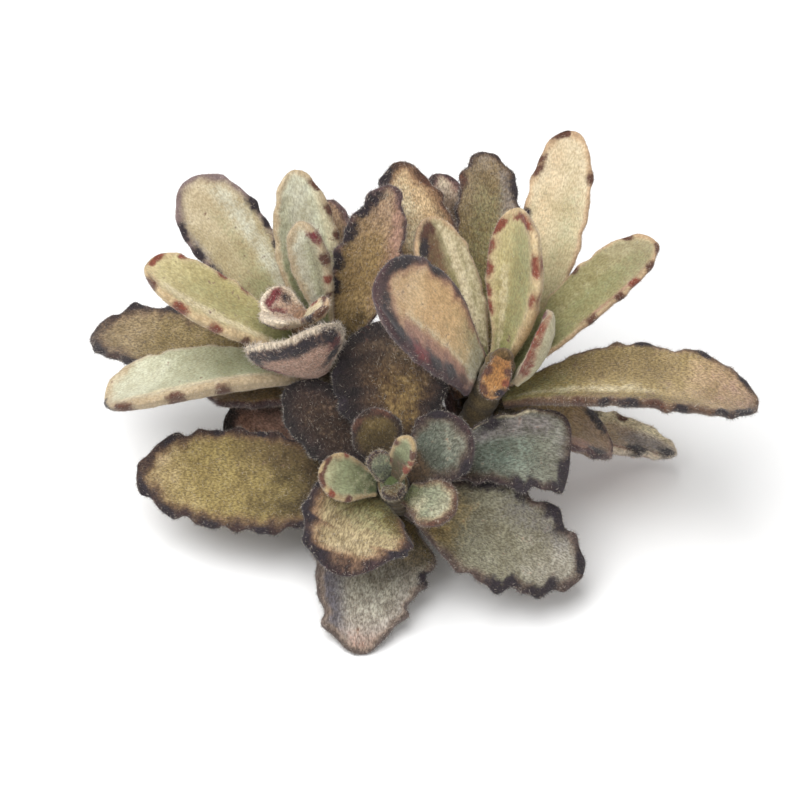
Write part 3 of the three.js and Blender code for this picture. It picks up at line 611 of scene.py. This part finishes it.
def coat(leaf, place):
    """How the margin, the washes and the spots colour the felt at places on the skin."""
    plan = leaf["paint"]
    s, x, edge, upper = place["s"], place["x"], place["edge"], place["face"] > 0
    left, right, tip = plan["margin"]
    lefts = smooth(*SIDES_MEET, x)
    near_tip = smooth(*TIP_MARGIN, s)
    width = (left * lefts + right * (1 - lefts)) * (1 - near_tip) + tip * near_tip
    width = width * (0.5 + 0.5 * smooth(*MARGIN_START, s))
    if plan["below"] is not None:
        width = np.where(upper, width, plan["below"] * (0.5 + 0.5 * smooth(*MARGIN_START_BELOW, s)))
    phase = leaf["seed"] + 2.0 * (x > 0)
    run_waves = [place["run"] * WAVE / length for length in MOTTLE[:2]]
    mottle = np.sin(run_waves[0] + phase) + np.sin(run_waves[1] + 2.3 * phase)
    mottle = mottle + 0.7 * np.sin(place["across"] * WAVE / MOTTLE[2] + 3 * phase)
    masks = {"rim": np.clip(edge / width + MOTTLE_DEPTH * mottle, 0, BARE)}
    for kind in (*TINTS, *SPOTS):
        masks[kind] = np.zeros_like(s)
    before, after = TINT_EDGE
    for kind, middle, half, start, end, strength in plan["tints"]:
        across = np.clip(SOFT_EDGE - np.abs(x - middle) / half, 0, 1)
        along = smooth(start - before, start + after, s) * (1 - smooth(end - after, end + before, s))
        masks[kind] = np.maximum(masks[kind], strength * across * along * upper)
    height = np.where(upper, edge, -edge)
    least, growth = SPOT_REACH
    for side, kind, *spots in plan["spots"]:
        toward, drop = (x, plan["drop"][0]) if side == "left" else (-x, plan["drop"][1])
        for share, length in spots:
            along = (s - share) * leaf["length"] / (length / 2)
            distance = np.hypot(along, (height - drop) / (least + growth * length))
            masks[kind] = np.maximum(masks[kind], np.clip(SOFT_EDGE - distance, 0, 1) * (toward > 0))
    return masks


def bare(count):
    """Masks of a surface that has no margin, washes or spots."""
    return {key: np.full(count, BARE if key == "rim" else 0.0) for key in MASKS}


# ---------- Materials ----------

MATERIALS = {}
# Size in mm and detail: the felt's grain, drawn about four times coarser than its real hairs so that it shows,
# which also carries painted shade and glints among the hairs, the tufts in which the hairs lie, the unevenness
# of the pigment, and the slow drift of the leaf's colour
FELT_PATTERNS = {"grain_and_hair_shading": (0.3, 2.0), "tuft": (0.9, 3.0), "blotch": (2.6, 3.0), "cloud": (7.0, 2.0)}
STRAND_STRETCH = 2.2  # how much longer than wide the grain is, along the blade
# How far each pattern moves the leaf's slow change of colour, and the edges of margins, washes and spots
UNEVENNESS = {"drift": {"cloud": 0.5, "blotch": 0.3}, "edge": {"tuft": 0.7, "blotch": 0.7}}
# How dark and how light each pattern makes rough felt, and smooth felt; the grain's darks and lights are
# painted shade and glints among the hairs
FELT_CONTRAST = {"grain_and_hair_shading": (0.6, 1.25), "tuft": (0.84, 1.09), "blotch": (0.88, 1.06), "cloud": (0.88, 1.06)}
SMOOTH_CONTRAST = {"grain_and_hair_shading": (0.8, 1.12), "tuft": (0.92, 1.05), "blotch": (0.92, 1.05), "cloud": (0.92, 1.05)}
NOISE_RANGE = (0.34, 0.66)  # where the noise's darks and lights lie
WARM_SHADE = (1, 0.97, 0.92)  # what shade and light leave of red, green and blue
WARM_LIGHT = (1, 1, 0.98)
FELT_RELIEF = 0.2  # depth of the felt's nap in mm
DULLEST, LEAST_DULL = 0.92, 0.76  # roughness in the dark and on the light of the grain


def add_node(tree, kind, settings=None, inputs=None):
    """Adds a node, sets its properties, and sets or links its inputs."""
    node = tree.nodes.new(kind)
    for key, value in (settings or {}).items():
        setattr(node, key, value)
    for key, value in (inputs or {}).items():
        if isinstance(value, bpy.types.NodeSocket):
            tree.links.new(value, node.inputs[key])
        else:
            node.inputs[key].default_value = value
    return node


def felted_skin(name):
    """Leaf skin under dense short felt: soft, matt, finely grained and mottled, with no gloss of its own. The
    grain's darks and lights are painted shade and glints among the hairs, and the dark base is partly painted
    shade.
    """
    if name in MATERIALS:
        return MATERIALS[name]
    base, middle, tip, under, blush, margin = ((*linear(code), 1) for code in FINISHES[name])
    material = bpy.data.materials.new(name)
    material.use_nodes = True
    tree = material.node_tree
    shader = tree.nodes["Principled BSDF"]

    blade = add_node(tree, "ShaderNodeAttribute", {"attribute_name": "blade"}).outputs["Vector"]
    strands = add_node(tree, "ShaderNodeMapping", None, {"Vector": blade, "Scale": (1, 1 / STRAND_STRETCH, 1)})
    patterns = {}
    for key, (size, detail) in FELT_PATTERNS.items():
        place = strands.outputs["Vector"] if key == "grain_and_hair_shading" else blade
        inputs = {"Vector": place, "Scale": 1 / size, "Detail": detail}
        patterns[key] = add_node(tree, "ShaderNodeTexNoise", None, inputs).outputs[0]
    uneven = {}
    for key, parts in UNEVENNESS.items():
        uneven[key] = -sum(parts.values()) / 2
        for pattern, amount in parts.items():
            inputs = {0: patterns[pattern], 1: amount, 2: uneven[key]}
            uneven[key] = add_node(tree, "ShaderNodeMath", {"operation": "MULTIPLY_ADD"}, inputs).outputs[0]

    # mask, its unevenness and how much of it, from where to where it works, its strength at both, colour
    layers = [
        # The base colour, which fades into the middle's by 0.42 of base_to_tip, is partly painted shade at the
        # leaf's base
        ("base_to_tip", "drift", 1.0, (0.0, 0.42), (0.0, 1.0), middle),
        ("base_to_tip", "drift", 1.0, (0.5, 0.95), (0.0, 1.0), tip),
        ("underside", "drift", 0.0, (0.0, 1.0), (0.0, 1.0), under),
        *((kind, "edge", 1.0, (0.1, 1.1), (0.0, 1.0), (*linear(code), 1)) for kind, code in TINTS.items()),
        ("rim", "edge", 1.2, (0.8, 2.3), (0.85, 0.0), blush),
        ("rim", "edge", 1.2, (0.2, 1.45), (1.0, 0.0), margin),
        *((kind, "edge", 1.5, (0.2, 1.0), (0.0, 1.0), (*linear(code), 1)) for kind, code in SPOTS.items()),
    ]
    felt = base
    for key, unevenness, amount, (low, high), (first, last), colour in layers:
        mask = add_node(tree, "ShaderNodeAttribute", {"attribute_name": key}).outputs["Fac"]
        inputs = {0: uneven[unevenness], 1: amount, 2: mask}
        mask = add_node(tree, "ShaderNodeMath", {"operation": "MULTIPLY_ADD"}, inputs).outputs[0]
        inputs = {0: mask, 1: low, 2: high, 3: first, 4: last}
        share = add_node(tree, "ShaderNodeMapRange", {"interpolation_type": "SMOOTHSTEP"}, inputs).outputs[0]
        felt = add_node(tree, "ShaderNodeMix", {"data_type": "RGBA"}, {0: share, 6: felt, 7: colour}).outputs[2]

    # The grain's darks and lights are painted shade and glints among the hairs; the other patterns make the
    # felt's tone uneven
    low, high = NOISE_RANGE
    contrasts = SMOOTH_CONTRAST if name in SMOOTH_FELTS else FELT_CONTRAST
    for key, (shade, light) in contrasts.items():
        inputs = {0: patterns[key], 1: low, 2: high}
        share = add_node(tree, "ShaderNodeMapRange", {"interpolation_type": "SMOOTHSTEP"}, inputs).outputs[0]
        shade_colour = (*(shade * part for part in WARM_SHADE), 1)
        light_colour = (*(light * part for part in WARM_LIGHT), 1)
        inputs = {0: share, 6: shade_colour, 7: light_colour}
        shades = add_node(tree, "ShaderNodeMix", {"data_type": "RGBA"}, inputs).outputs[2]
        settings = {"data_type": "RGBA", "blend_type": "MULTIPLY"}
        felt = add_node(tree, "ShaderNodeMix", settings, {0: 1.0, 6: felt, 7: shades}).outputs[2]
    tree.links.new(felt, shader.inputs["Base Color"])

    inputs = {0: patterns["grain_and_hair_shading"], 1: 0.5, 2: patterns["tuft"]}
    relief = add_node(tree, "ShaderNodeMath", {"operation": "MULTIPLY_ADD"}, inputs).outputs[0]
    inputs = {"Strength": 0.6, "Distance": FELT_RELIEF * MM, "Height": relief}
    bump = add_node(tree, "ShaderNodeBump", None, inputs).outputs[0]
    tree.links.new(bump, shader.inputs["Normal"])
    inputs = {0: patterns["grain_and_hair_shading"], 1: 0.3, 2: 0.7, 3: DULLEST, 4: LEAST_DULL}
    roughness = add_node(tree, "ShaderNodeMapRange", None, inputs).outputs[0]
    tree.links.new(roughness, shader.inputs["Roughness"])
    shader.inputs["IOR"].default_value = 1.42
    shader.inputs["Sheen Weight"].default_value = 0.2
    shader.inputs["Sheen Roughness"].default_value = 0.6
    MATERIALS[name] = material
    return material


def plant_hair(name, colour):
    """One plant hair, hollow and dry: it scatters light softly and shines a little along its length."""
    if name in MATERIALS:
        return MATERIALS[name]
    material = bpy.data.materials.new(name)
    material.use_nodes = True
    shader = material.node_tree.nodes["Principled BSDF"]
    shader.inputs["Base Color"].default_value = (*colour, 1)
    shader.inputs["Roughness"].default_value = 0.6
    shader.inputs["IOR"].default_value = 1.45
    shader.inputs["Sheen Weight"].default_value = 0.2
    MATERIALS[name] = material
    return material


SKIN_TONES = ["base", "middle", "tip", "under", "blush", "margin"]
BLEACH = 0.12  # how much paler a hair is than the skin that it stands on
HAIR_COLOURS = [*SKIN_TONES, "light", "shade", "halo", *TINTS, *SPOTS]


def hair_materials(finish):
    """Materials in the order of HAIR_COLOURS: those of one finish, then those that all leaves share."""
    tones = dict(zip(SKIN_TONES, FINISHES[finish]))
    colours = {
        f"{finish}_hair_{key}": mixed(code, HALO, BLEACH / 2 if key == "margin" else BLEACH)
        for key, code in tones.items()
    }
    colours[finish + "_hair_light"] = mixed(tones["tip"], HALO, 0.5)
    colours[finish + "_hair_shade"] = mixed(tones["base"], tones["margin"], 0.4)
    colours["halo_hair"] = linear(HALO)
    for key, code in (*TINTS.items(), *SPOTS.items()):
        colours[key + "_hair"] = mixed(code, HALO, BLEACH / 3)
    return [plant_hair(name, colour) for name, colour in colours.items()]


# ---------- Meshes ----------


def add_object(name, data):
    thing = bpy.data.objects.new(name, data)
    bpy.context.scene.collection.objects.link(thing)
    return thing


def in_frame(points):
    """Points in the shared frame in metres, from millimetres and the stem's foot."""
    return (points - FOOTPRINT_MIDDLE) * MM


def add_piece(name, mesh, materials, wear, slot_name, node=None):
    """A piece of the plant's one body. wear: the number of each face's material."""
    for material in materials:
        mesh.materials.append(material)
    mesh.polygons.foreach_set("material_index", wear)
    mesh.polygons.foreach_set("use_smooth", [True] * len(mesh.polygons))
    mesh.update(calc_edges=True)
    piece = add_object(name, mesh)
    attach(piece, "root")
    if node:
        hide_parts(node)


def add_skin(name, shells, finishes, node, slot_name):
    """Adds a piece made of shells. Each holds points, faces, masks, places for the grain, and a finish."""
    faces, wear, first = [], [], 0
    for points, shell_faces, _, _, finish in shells:
        faces += [tuple(first + n for n in face) for face in shell_faces]
        wear += [finishes.index(finish)] * len(shell_faces)
        first += len(points)
    mesh = bpy.data.meshes.new(name)
    mesh.from_pydata(in_frame(np.concatenate([shell[0] for shell in shells])).tolist(), [], faces)
    add_piece(name, mesh, [felted_skin(finish) for finish in finishes], wear, slot_name, node)
    for key in MASKS:
        mask = np.concatenate([shell[2][key] for shell in shells]).astype(np.float32)
        mesh.attributes.new(key, "FLOAT", "POINT").data.foreach_set("value", mask)
    blade = np.concatenate([shell[3] for shell in shells]).astype(np.float32)
    mesh.attributes.new("blade", "FLOAT_VECTOR", "POINT").data.foreach_set("vector", blade.reshape(-1))
    return mesh


def blade_grid(leaf, stations, ring):
    """Shares of the length and angles round the section, closer together towards the tip."""
    t = np.linspace(0, 1, stations)
    s = 1 - (1 - t) ** STATION_CROWDING
    first = -SEATING / leaf["length"]
    s = first + s * (LAST_STATION - first)
    turn = np.linspace(0, 2 * math.pi, ring + 1)[:-1]
    return np.meshgrid(s, turn, indexing="ij")


def leaf_shell(leaf):
    """One closed leaf skin as a shell, and its map's corners."""
    stations, ring = leaf["stations"], leaf["ring"]
    points, place = skin(leaf, *blade_grid(leaf, stations, ring))
    faces, corners = [], []
    u = np.arange(ring + 1) / ring
    v = MAP_BORDER + (1 - 2 * MAP_BORDER) * np.arange(stations) / (stations - 1)
    for i in range(stations - 1):
        for j in range(ring):
            a, b = i * ring + j, i * ring + (j + 1) % ring
            faces.append((a, a + ring, b + ring, b))
            corners += [(u[j], v[i]), (u[j], v[i + 1]), (u[j + 1], v[i + 1]), (u[j + 1], v[i])]
    last = (stations - 1) * ring
    count = stations * ring
    for j in range(ring):
        k = (j + 1) % ring
        faces += [(count, j, k), (count + 1, last + k, last + j)]
        middle = (u[j] + u[j + 1]) / 2
        corners += [(middle, 0.0), (u[j], v[0]), (u[j + 1], v[0])]
        corners += [(middle, 1.0), (u[j + 1], v[-1]), (u[j], v[-1])]

    def with_ends(values):
        flat = values.reshape(count, -1)
        return np.concatenate([flat, [flat[:ring].mean(0)], [flat[-ring:].mean(0)]]).squeeze()

    masks = {key: with_ends(mask) for key, mask in coat(leaf, place).items()}
    # base_to_tip runs from the dark base, partly painted shade, through the middle to the tip
    masks["base_to_tip"] = with_ends(place["s"] + leaf["paint"]["shift"])
    masks["underside"] = with_ends(smooth(0.2, -0.5, place["face"]))
    underside_shift = UNDERSIDE_SHIFT * (place["face"] < 0)
    blade = [place["across"] + underside_shift, place["run"], np.full_like(place["s"], leaf["seed"])]
    shell = with_ends(points), faces, masks, with_ends(np.stack(blade, -1)), leaf["paint"]["finish"]
    return shell, corners


def add_leaf(name, leaf, slot_name):
    shell, corners = leaf_shell(leaf)
    mesh = add_skin("leaf_" + name, [shell], [leaf["paint"]["finish"]], name, slot_name)
    mesh.uv_layers.new(name="OFBake").data.foreach_set("uv", np.array(corners, np.float32).reshape(-1))


def scatter(leaf, density, rng):
    """Random places on a leaf's skin, denser on the rim and thinner underneath."""
    s, turn = blade_grid(leaf, *HAIR_GRID)
    points, place = skin(leaf, s, turn)
    ahead, round_section = points[1:] - points[:-1], np.roll(points, -1, axis=1) - points
    weights = np.linalg.norm(np.cross(ahead, round_section[:-1]), axis=-1)
    extra, reach = RIM_THICKENING
    weights = weights * (1 + extra * bell(place["edge"][:-1], 0, reach))
    weights = weights * np.where(place["face"][:-1] < SPARSE_FACE, SPARSE_SHARE, 1.0)
    weights[0] = 0
    count = int(density * weights.sum())
    i, j = np.divmod(rng.choice(weights.size, count, p=weights.ravel() / weights.sum()), weights.shape[1])
    a, b = rng.random(count), rng.random(count)
    return s[i, 0] + a * (s[i + 1, 0] - s[i, 0]), turn[0, j] + b * (2 * math.pi / HAIR_GRID[1])


def hair_colours(leaf, place, near_rim, rng):
    """A number for each hair's colour. The colours' edges are ragged, with stray pale and dark hairs."""
    masks = coat(leaf, place)
    count = len(near_rim)
    stray = STRAYS[felt_kind(leaf)]
    chance = rng.random(count)
    scattered = rng.normal(0, BASE_TO_TIP_SCATTER[felt_kind(leaf)], count)
    # Hairs before MIDDLE_FROM keep the dark base colour, partly painted shade
    base_to_tip = place["s"] + leaf["paint"]["shift"] + scattered
    ragged = rng.normal(0, RAGGEDNESS, count)
    depth = masks["rim"] + RIM_RAGGEDNESS * ragged
    halo_share = FACE_HALO + PILE_HALO * (leaf["paint"]["pile"] - 1) + RIM_HALO * near_rim
    layers = [  # each lies over those before it
        (base_to_tip >= MIDDLE_FROM, "middle"),
        (base_to_tip >= TIP_FROM, "tip"),
        ((place["face"] < UNDER_FACE) & (chance < UNDER_SHARE), "under"),
        ((chance > 1 - PALE_STRAYS * stray) & (place["s"] > BARE_BASE), "light"),
        (chance < DARK_STRAYS * stray, "shade"),
        *(((masks[kind] > FAINTEST) & (masks[kind] + ragged > TINT_FROM), kind) for kind in TINTS),
        (depth < BLUSH_DEPTH, "blush"),
        ((depth < MARGIN_DEPTH) & (rng.random(count) < MARGIN_SHARE), "margin"),
    ]
    for kind in SPOTS:
        dark = masks[kind] + SPOT_RAGGEDNESS * ragged > SPOT_FROM
        layers.append(((masks[kind] > FAINTEST) & dark & (rng.random(count) < SPOT_SHARE), kind))
    layers.append((rng.random(count) < halo_share * smooth(0, HALO_START, place["s"]), "halo"))
    colour = np.full(count, HAIR_COLOURS.index("base"))
    for where, key in layers:
        colour[where] = HAIR_COLOURS.index(key)
    return colour


def felt_hairs(leaf, rng):
    """Roots, directions, lengths and colour numbers of the hairs on one leaf."""
    share = SMOOTH_SHARE if felt_kind(leaf) == "smooth" else 1
    s, turn = scatter(leaf, HAIRS_PER_MM2 * share, rng)
    count = len(s)
    root, place = skin(leaf, s, turn)
    ahead = unit(skin(leaf, s + NUDGE_AHEAD, turn)[0] - root)
    normal = unit(np.cross(skin(leaf, s, turn + NUDGE_ROUND)[0] - root, ahead))
    outward = np.einsum("ij,ij->i", normal, root - frames(leaf, s)[0])
    normal = normal * np.where(outward < 0, -1, 1)[:, None]
    across = np.cross(normal, ahead)
    near_rim = np.abs(place["edge"]) < RIM_BAND
    lean = np.where(near_rim, rng.uniform(*RIM_LEAN, count), rng.uniform(*FACE_LEAN, count))
    twist = rng.normal(0, HAIR_TWIST, count)
    flat = ahead * np.cos(twist)[:, None] + across * np.sin(twist)[:, None]
    direction = normal * np.cos(lean)[:, None] + flat * np.sin(lean)[:, None]
    colour = hair_colours(leaf, place, near_rim, rng)
    length = rng.uniform(*HAIR_LENGTH, count) * np.where(near_rim, RIM_HAIR, 1.0)
    length = length * leaf["paint"]["pile"] * share
    above = np.minimum(root[:, 2], (root + direction * length[:, None])[:, 2]) > FLOOR_CLEARANCE
    root = root - direction * HAIR_ROOT
    return root[above], direction[above], length[above], colour[above]


def add_felt(name, leaves, slot_name, rng):
    """The coat of hairs of one piece: slim three-sided spikes rooted in the skin."""
    coats = [felt_hairs(leaf, rng) for leaf in leaves]
    root, direction, length, colour = (np.concatenate(parts) for parts in zip(*coats))
    helper = np.where(np.abs(direction[:, 2:3]) < 0.9, [[0.0, 0.0, 1.0]], [[1.0, 0.0, 0.0]])
    right = unit(np.cross(direction, helper))
    front = np.cross(direction, right)
    corners = [
        root + (right * math.cos(angle) + front * math.sin(angle)) * HAIR_RADIUS
        for angle in (0, 2 * math.pi / 3, 4 * math.pi / 3)
    ]
    tips = root + direction * (length + HAIR_ROOT)[:, None]
    points = np.stack([*corners, tips], 1).reshape(-1, 3)
    first = 4 * np.arange(len(root))[:, None]
    faces = np.stack([first + [0, 1, 3], first + [1, 2, 3], first + [2, 0, 3]], 1).reshape(-1, 3)
    mesh = bpy.data.meshes.new(name)
    mesh.vertices.add(len(points))
    mesh.vertices.foreach_set("co", in_frame(points).astype(np.float32).reshape(-1))
    mesh.loops.add(faces.size)
    mesh.loops.foreach_set("vertex_index", faces.astype(np.int32).reshape(-1))
    mesh.polygons.add(len(faces))
    mesh.polygons.foreach_set("loop_start", np.arange(0, faces.size, 3, dtype=np.int32))
    wear = np.repeat(colour, 3).astype(np.int32)
    add_piece(name, mesh, hair_materials(leaves[0]["paint"]["finish"]), wear, slot_name)


def turned_shell(centres, axes, radii, ends, hint, sides):
    """Points and faces of a closed round shell: a ring round each centre, and a point at each end."""
    turns = np.arange(sides) / sides * 2 * math.pi
    rings = []
    for centre, axis, radius in zip(centres, axes, radii):
        right = unit(np.cross(axis, hint))
        front = np.cross(axis, right)
        rings.append(centre + radius * (np.cos(turns)[:, None] * right + np.sin(turns)[:, None] * front))
    faces = []
    last = (len(rings) - 1) * sides
    count = len(rings) * sides
    for j in range(sides):
        k = (j + 1) % sides
        for first in range(0, last, sides):
            faces.append((first + j, first + k, first + sides + k, first + sides + j))
        faces += [(k, j, count), (last + j, last + k, count + 1)]
    return np.concatenate([*rings, ends]), faces


def bud_dome(branch, rings=12, sides=28):
    """The shoot's rounded tip, under its youngest leaves."""
    axis, point = shoot_point(branch, -SEAT_GAP)
    angles = np.arange(rings) / rings * math.pi / 2
    centres = point + axis * BUD_HEIGHT * np.sin(angles)[:, None]
    ends = [point, point + axis * BUD_HEIGHT]
    return turned_shell(centres, [axis] * rings, BUD_RADIUS * np.cos(angles), ends, [0.0, 1.0, 0.0], sides)


def stem_tubes(sides=36):
    """The foot and its three branches, each with the low rings of old leaf scars, as points and faces."""
    heights = np.linspace(0, FOOT_HEIGHT, 14)
    levels = [0, FOOT_SHOULDER_HEIGHT, FOOT_HEIGHT]
    profile = np.interp(heights, levels, [FOOT_RADIUS, FOOT_SHOULDER_RADIUS, FOOT_TOP_RADIUS])
    tubes = [([[0, 0, h] for h in heights], profile)]
    lower = np.linspace(0, 1, 14)[:, None]
    curve = lower[1:]
    upper = np.linspace(0, 1, 46)[1:, None]
    for points in BRANCHES.values():
        root, bend, top = (np.array(p, float) for p in points)
        corner_in = bend + (root - bend) * CORNER
        corner_out = bend + unit(top - bend) * BRANCH_RADIUS
        centres = np.concatenate([
            root + (corner_in - root) * lower,
            corner_in * (1 - curve) ** 2 + 2 * bend * curve * (1 - curve) + corner_out * curve**2,
            corner_out + (top - corner_out) * upper,
        ])
        travel = np.concatenate([[0], np.cumsum(np.linalg.norm(np.diff(centres, axis=0), axis=1))])
        bend_at = np.linalg.norm(bend - root)
        stops = [0, bend_at, bend_at + SLIMMING, travel[-1]]
        radii = np.interp(travel, stops, [FOOT_TOP_RADIUS, BRANCH_RADIUS, SHOOT_RADIUS, SHOOT_RADIUS])
        tubes.append((centres, radii + SCAR_HEIGHT * np.cos(travel / SCAR_SPACING * 2 * math.pi)))
    for centres, radii in tubes:
        centres = np.array(centres, float)
        ahead = unit(np.gradient(centres, axis=0))
        yield turned_shell(centres, ahead, radii, centres[[0, -1]], [0.0, 1.0, 0.1], sides)


# ---------- Building the plant ----------

rng = np.random.default_rng(7)
for number, (name, branch, below, heading, rise, length, width, slot_name, shape) in enumerate(LEAVES):
    leaf = dict(PLAIN_LEAF, branch=branch, below=below, heading=heading, rise=rise, length=length, width=width)
    leaf.update(stations=STATIONS, ring=RING_POINTS, paint=PAINT[name], seed=LEAF_SEED_STEP * number, **shape)
    if leaf["paint"]["finish"] in DARK_MARGINED:
        tooth = leaf["paint"]["tooth"]
        teeth = [(side, "plum", *((share, tooth) for share in leaf[side])) for side in ("left", "right")]
        leaf["paint"]["spots"] = leaf["paint"]["spots"] + teeth
    if length < SHORT_LEAF:
        leaf.update(stations=SHORT_STATIONS, ring=SHORT_RING_POINTS)
    add_leaf(name, leaf, slot_name)
    add_felt("felt_" + name, [leaf], slot_name, rng)

for branch in BRANCHES:
    young = []
    for number, (where, heading, rise, length, width, curl) in enumerate(BUD_LEAVES):
        if where == branch:
            leaf = dict(PLAIN_LEAF, branch=branch, below=-BUD_LEAF_RISE, reach=BUD_REACH, **BUD_LEAF)
            leaf.update(heading=heading, rise=rise, length=length, width=width, curl=curl)
            leaf.update(paint=YOUNG_PAINT[number], seed=BUD_SEED + number)
            leaf.update(stations=BUD_STATIONS, ring=BUD_RING_POINTS)
            young.append(leaf)
    finishes = list(dict.fromkeys(leaf["paint"]["finish"] for leaf in young))
    points, faces = bud_dome(branch)
    shells = [leaf_shell(leaf)[0] for leaf in young]
    shells.append((points, faces, bare(len(points)), points, finishes[0]))
    add_skin(branch + "_bud_skin", shells, finishes, branch + "_bud", "felt_pale")
    add_felt(branch + "_bud_felt", young, "felt_pale", rng)

shells = []
for points, faces in stem_tubes():
    masks = dict(bare(len(points)), base_to_tip=np.clip(points[:, 2] / STEM_TOP_COLOUR_HEIGHT, 0, 1))
    shells.append((points, faces, masks, points, "stem_felt"))
add_skin("branching_stem", shells, ["stem_felt"], "stem", "stem_felt")

# ---------- Floor, light and camera ----------

PLANT_MIDDLE = Vector((0.0, 0.0, 0.035))
FLOOR_REACH = 3.0
WORLD_STRENGTH = 0.38
SOFTBOX_SIDE = 0.8

floor_mesh = bpy.data.meshes.new("studio_floor")
floor_corners = [(x * FLOOR_REACH, y * FLOOR_REACH, 0) for x, y in ((-1, -1), (1, -1), (1, 1), (-1, 1))]
floor_mesh.from_pydata(floor_corners, [], [(0, 1, 2, 3)])
floor = add_object("studio_floor", floor_mesh)
paper = bpy.data.materials.new("white_paper_sweep")  # a matt white ground that takes soft shadows
paper.use_nodes = True
paper.node_tree.nodes["Principled BSDF"].inputs["Base Color"].default_value = (1, 1, 1, 1)
paper.node_tree.nodes["Principled BSDF"].inputs["Roughness"].default_value = 0.95
floor_mesh.materials.append(paper)

world = bpy.data.worlds.new("soft_studio")
bpy.context.scene.world = world
world.use_nodes = True
world.node_tree.nodes["Background"].inputs["Color"].default_value = (1, 1, 1, 1)
world.node_tree.nodes["Background"].inputs["Strength"].default_value = WORLD_STRENGTH


def add_softbox(name, place, power):
    """A square softbox that faces the plant."""
    light = bpy.data.lights.new(name, "AREA")
    light.shape = "RECTANGLE"
    light.size = light.size_y = SOFTBOX_SIDE
    light.energy = power
    box = add_object(name, light)
    box.location = place
    box.rotation_euler = (PLANT_MIDDLE - Vector(place)).to_track_quat("-Z", "Y").to_euler()


add_softbox("key_softbox", (-0.28, -0.12, 0.8), 8.8)
add_softbox("fill_softbox", (0.5, -0.6, 0.5), 1.6)

CAMERA_ELEVATION = math.radians(45)
CAMERA_DISTANCE = 430.0
CAMERA_TARGET = np.array([0.0, 0.0, 35.0])  # above the stem's foot
IMAGE_MM_PER_PIXEL = 0.21
IMAGE_WIDTH = 800
SENSOR = 36.0

camera_data = bpy.data.cameras.new("camera")
camera_data.sensor_width = SENSOR
camera_data.lens = SENSOR * CAMERA_DISTANCE / (IMAGE_MM_PER_PIXEL * IMAGE_WIDTH)
camera_data.clip_start = 0.01
camera = add_object("camera", camera_data)
back = np.array([0.0, -math.cos(CAMERA_ELEVATION), math.sin(CAMERA_ELEVATION)])
camera.location = in_frame(CAMERA_TARGET + back * CAMERA_DISTANCE)
camera.rotation_euler = (math.pi / 2 - CAMERA_ELEVATION, 0, 0)
bpy.context.scene.camera = camera
bpy.context.scene.view_settings.view_transform = "Standard"
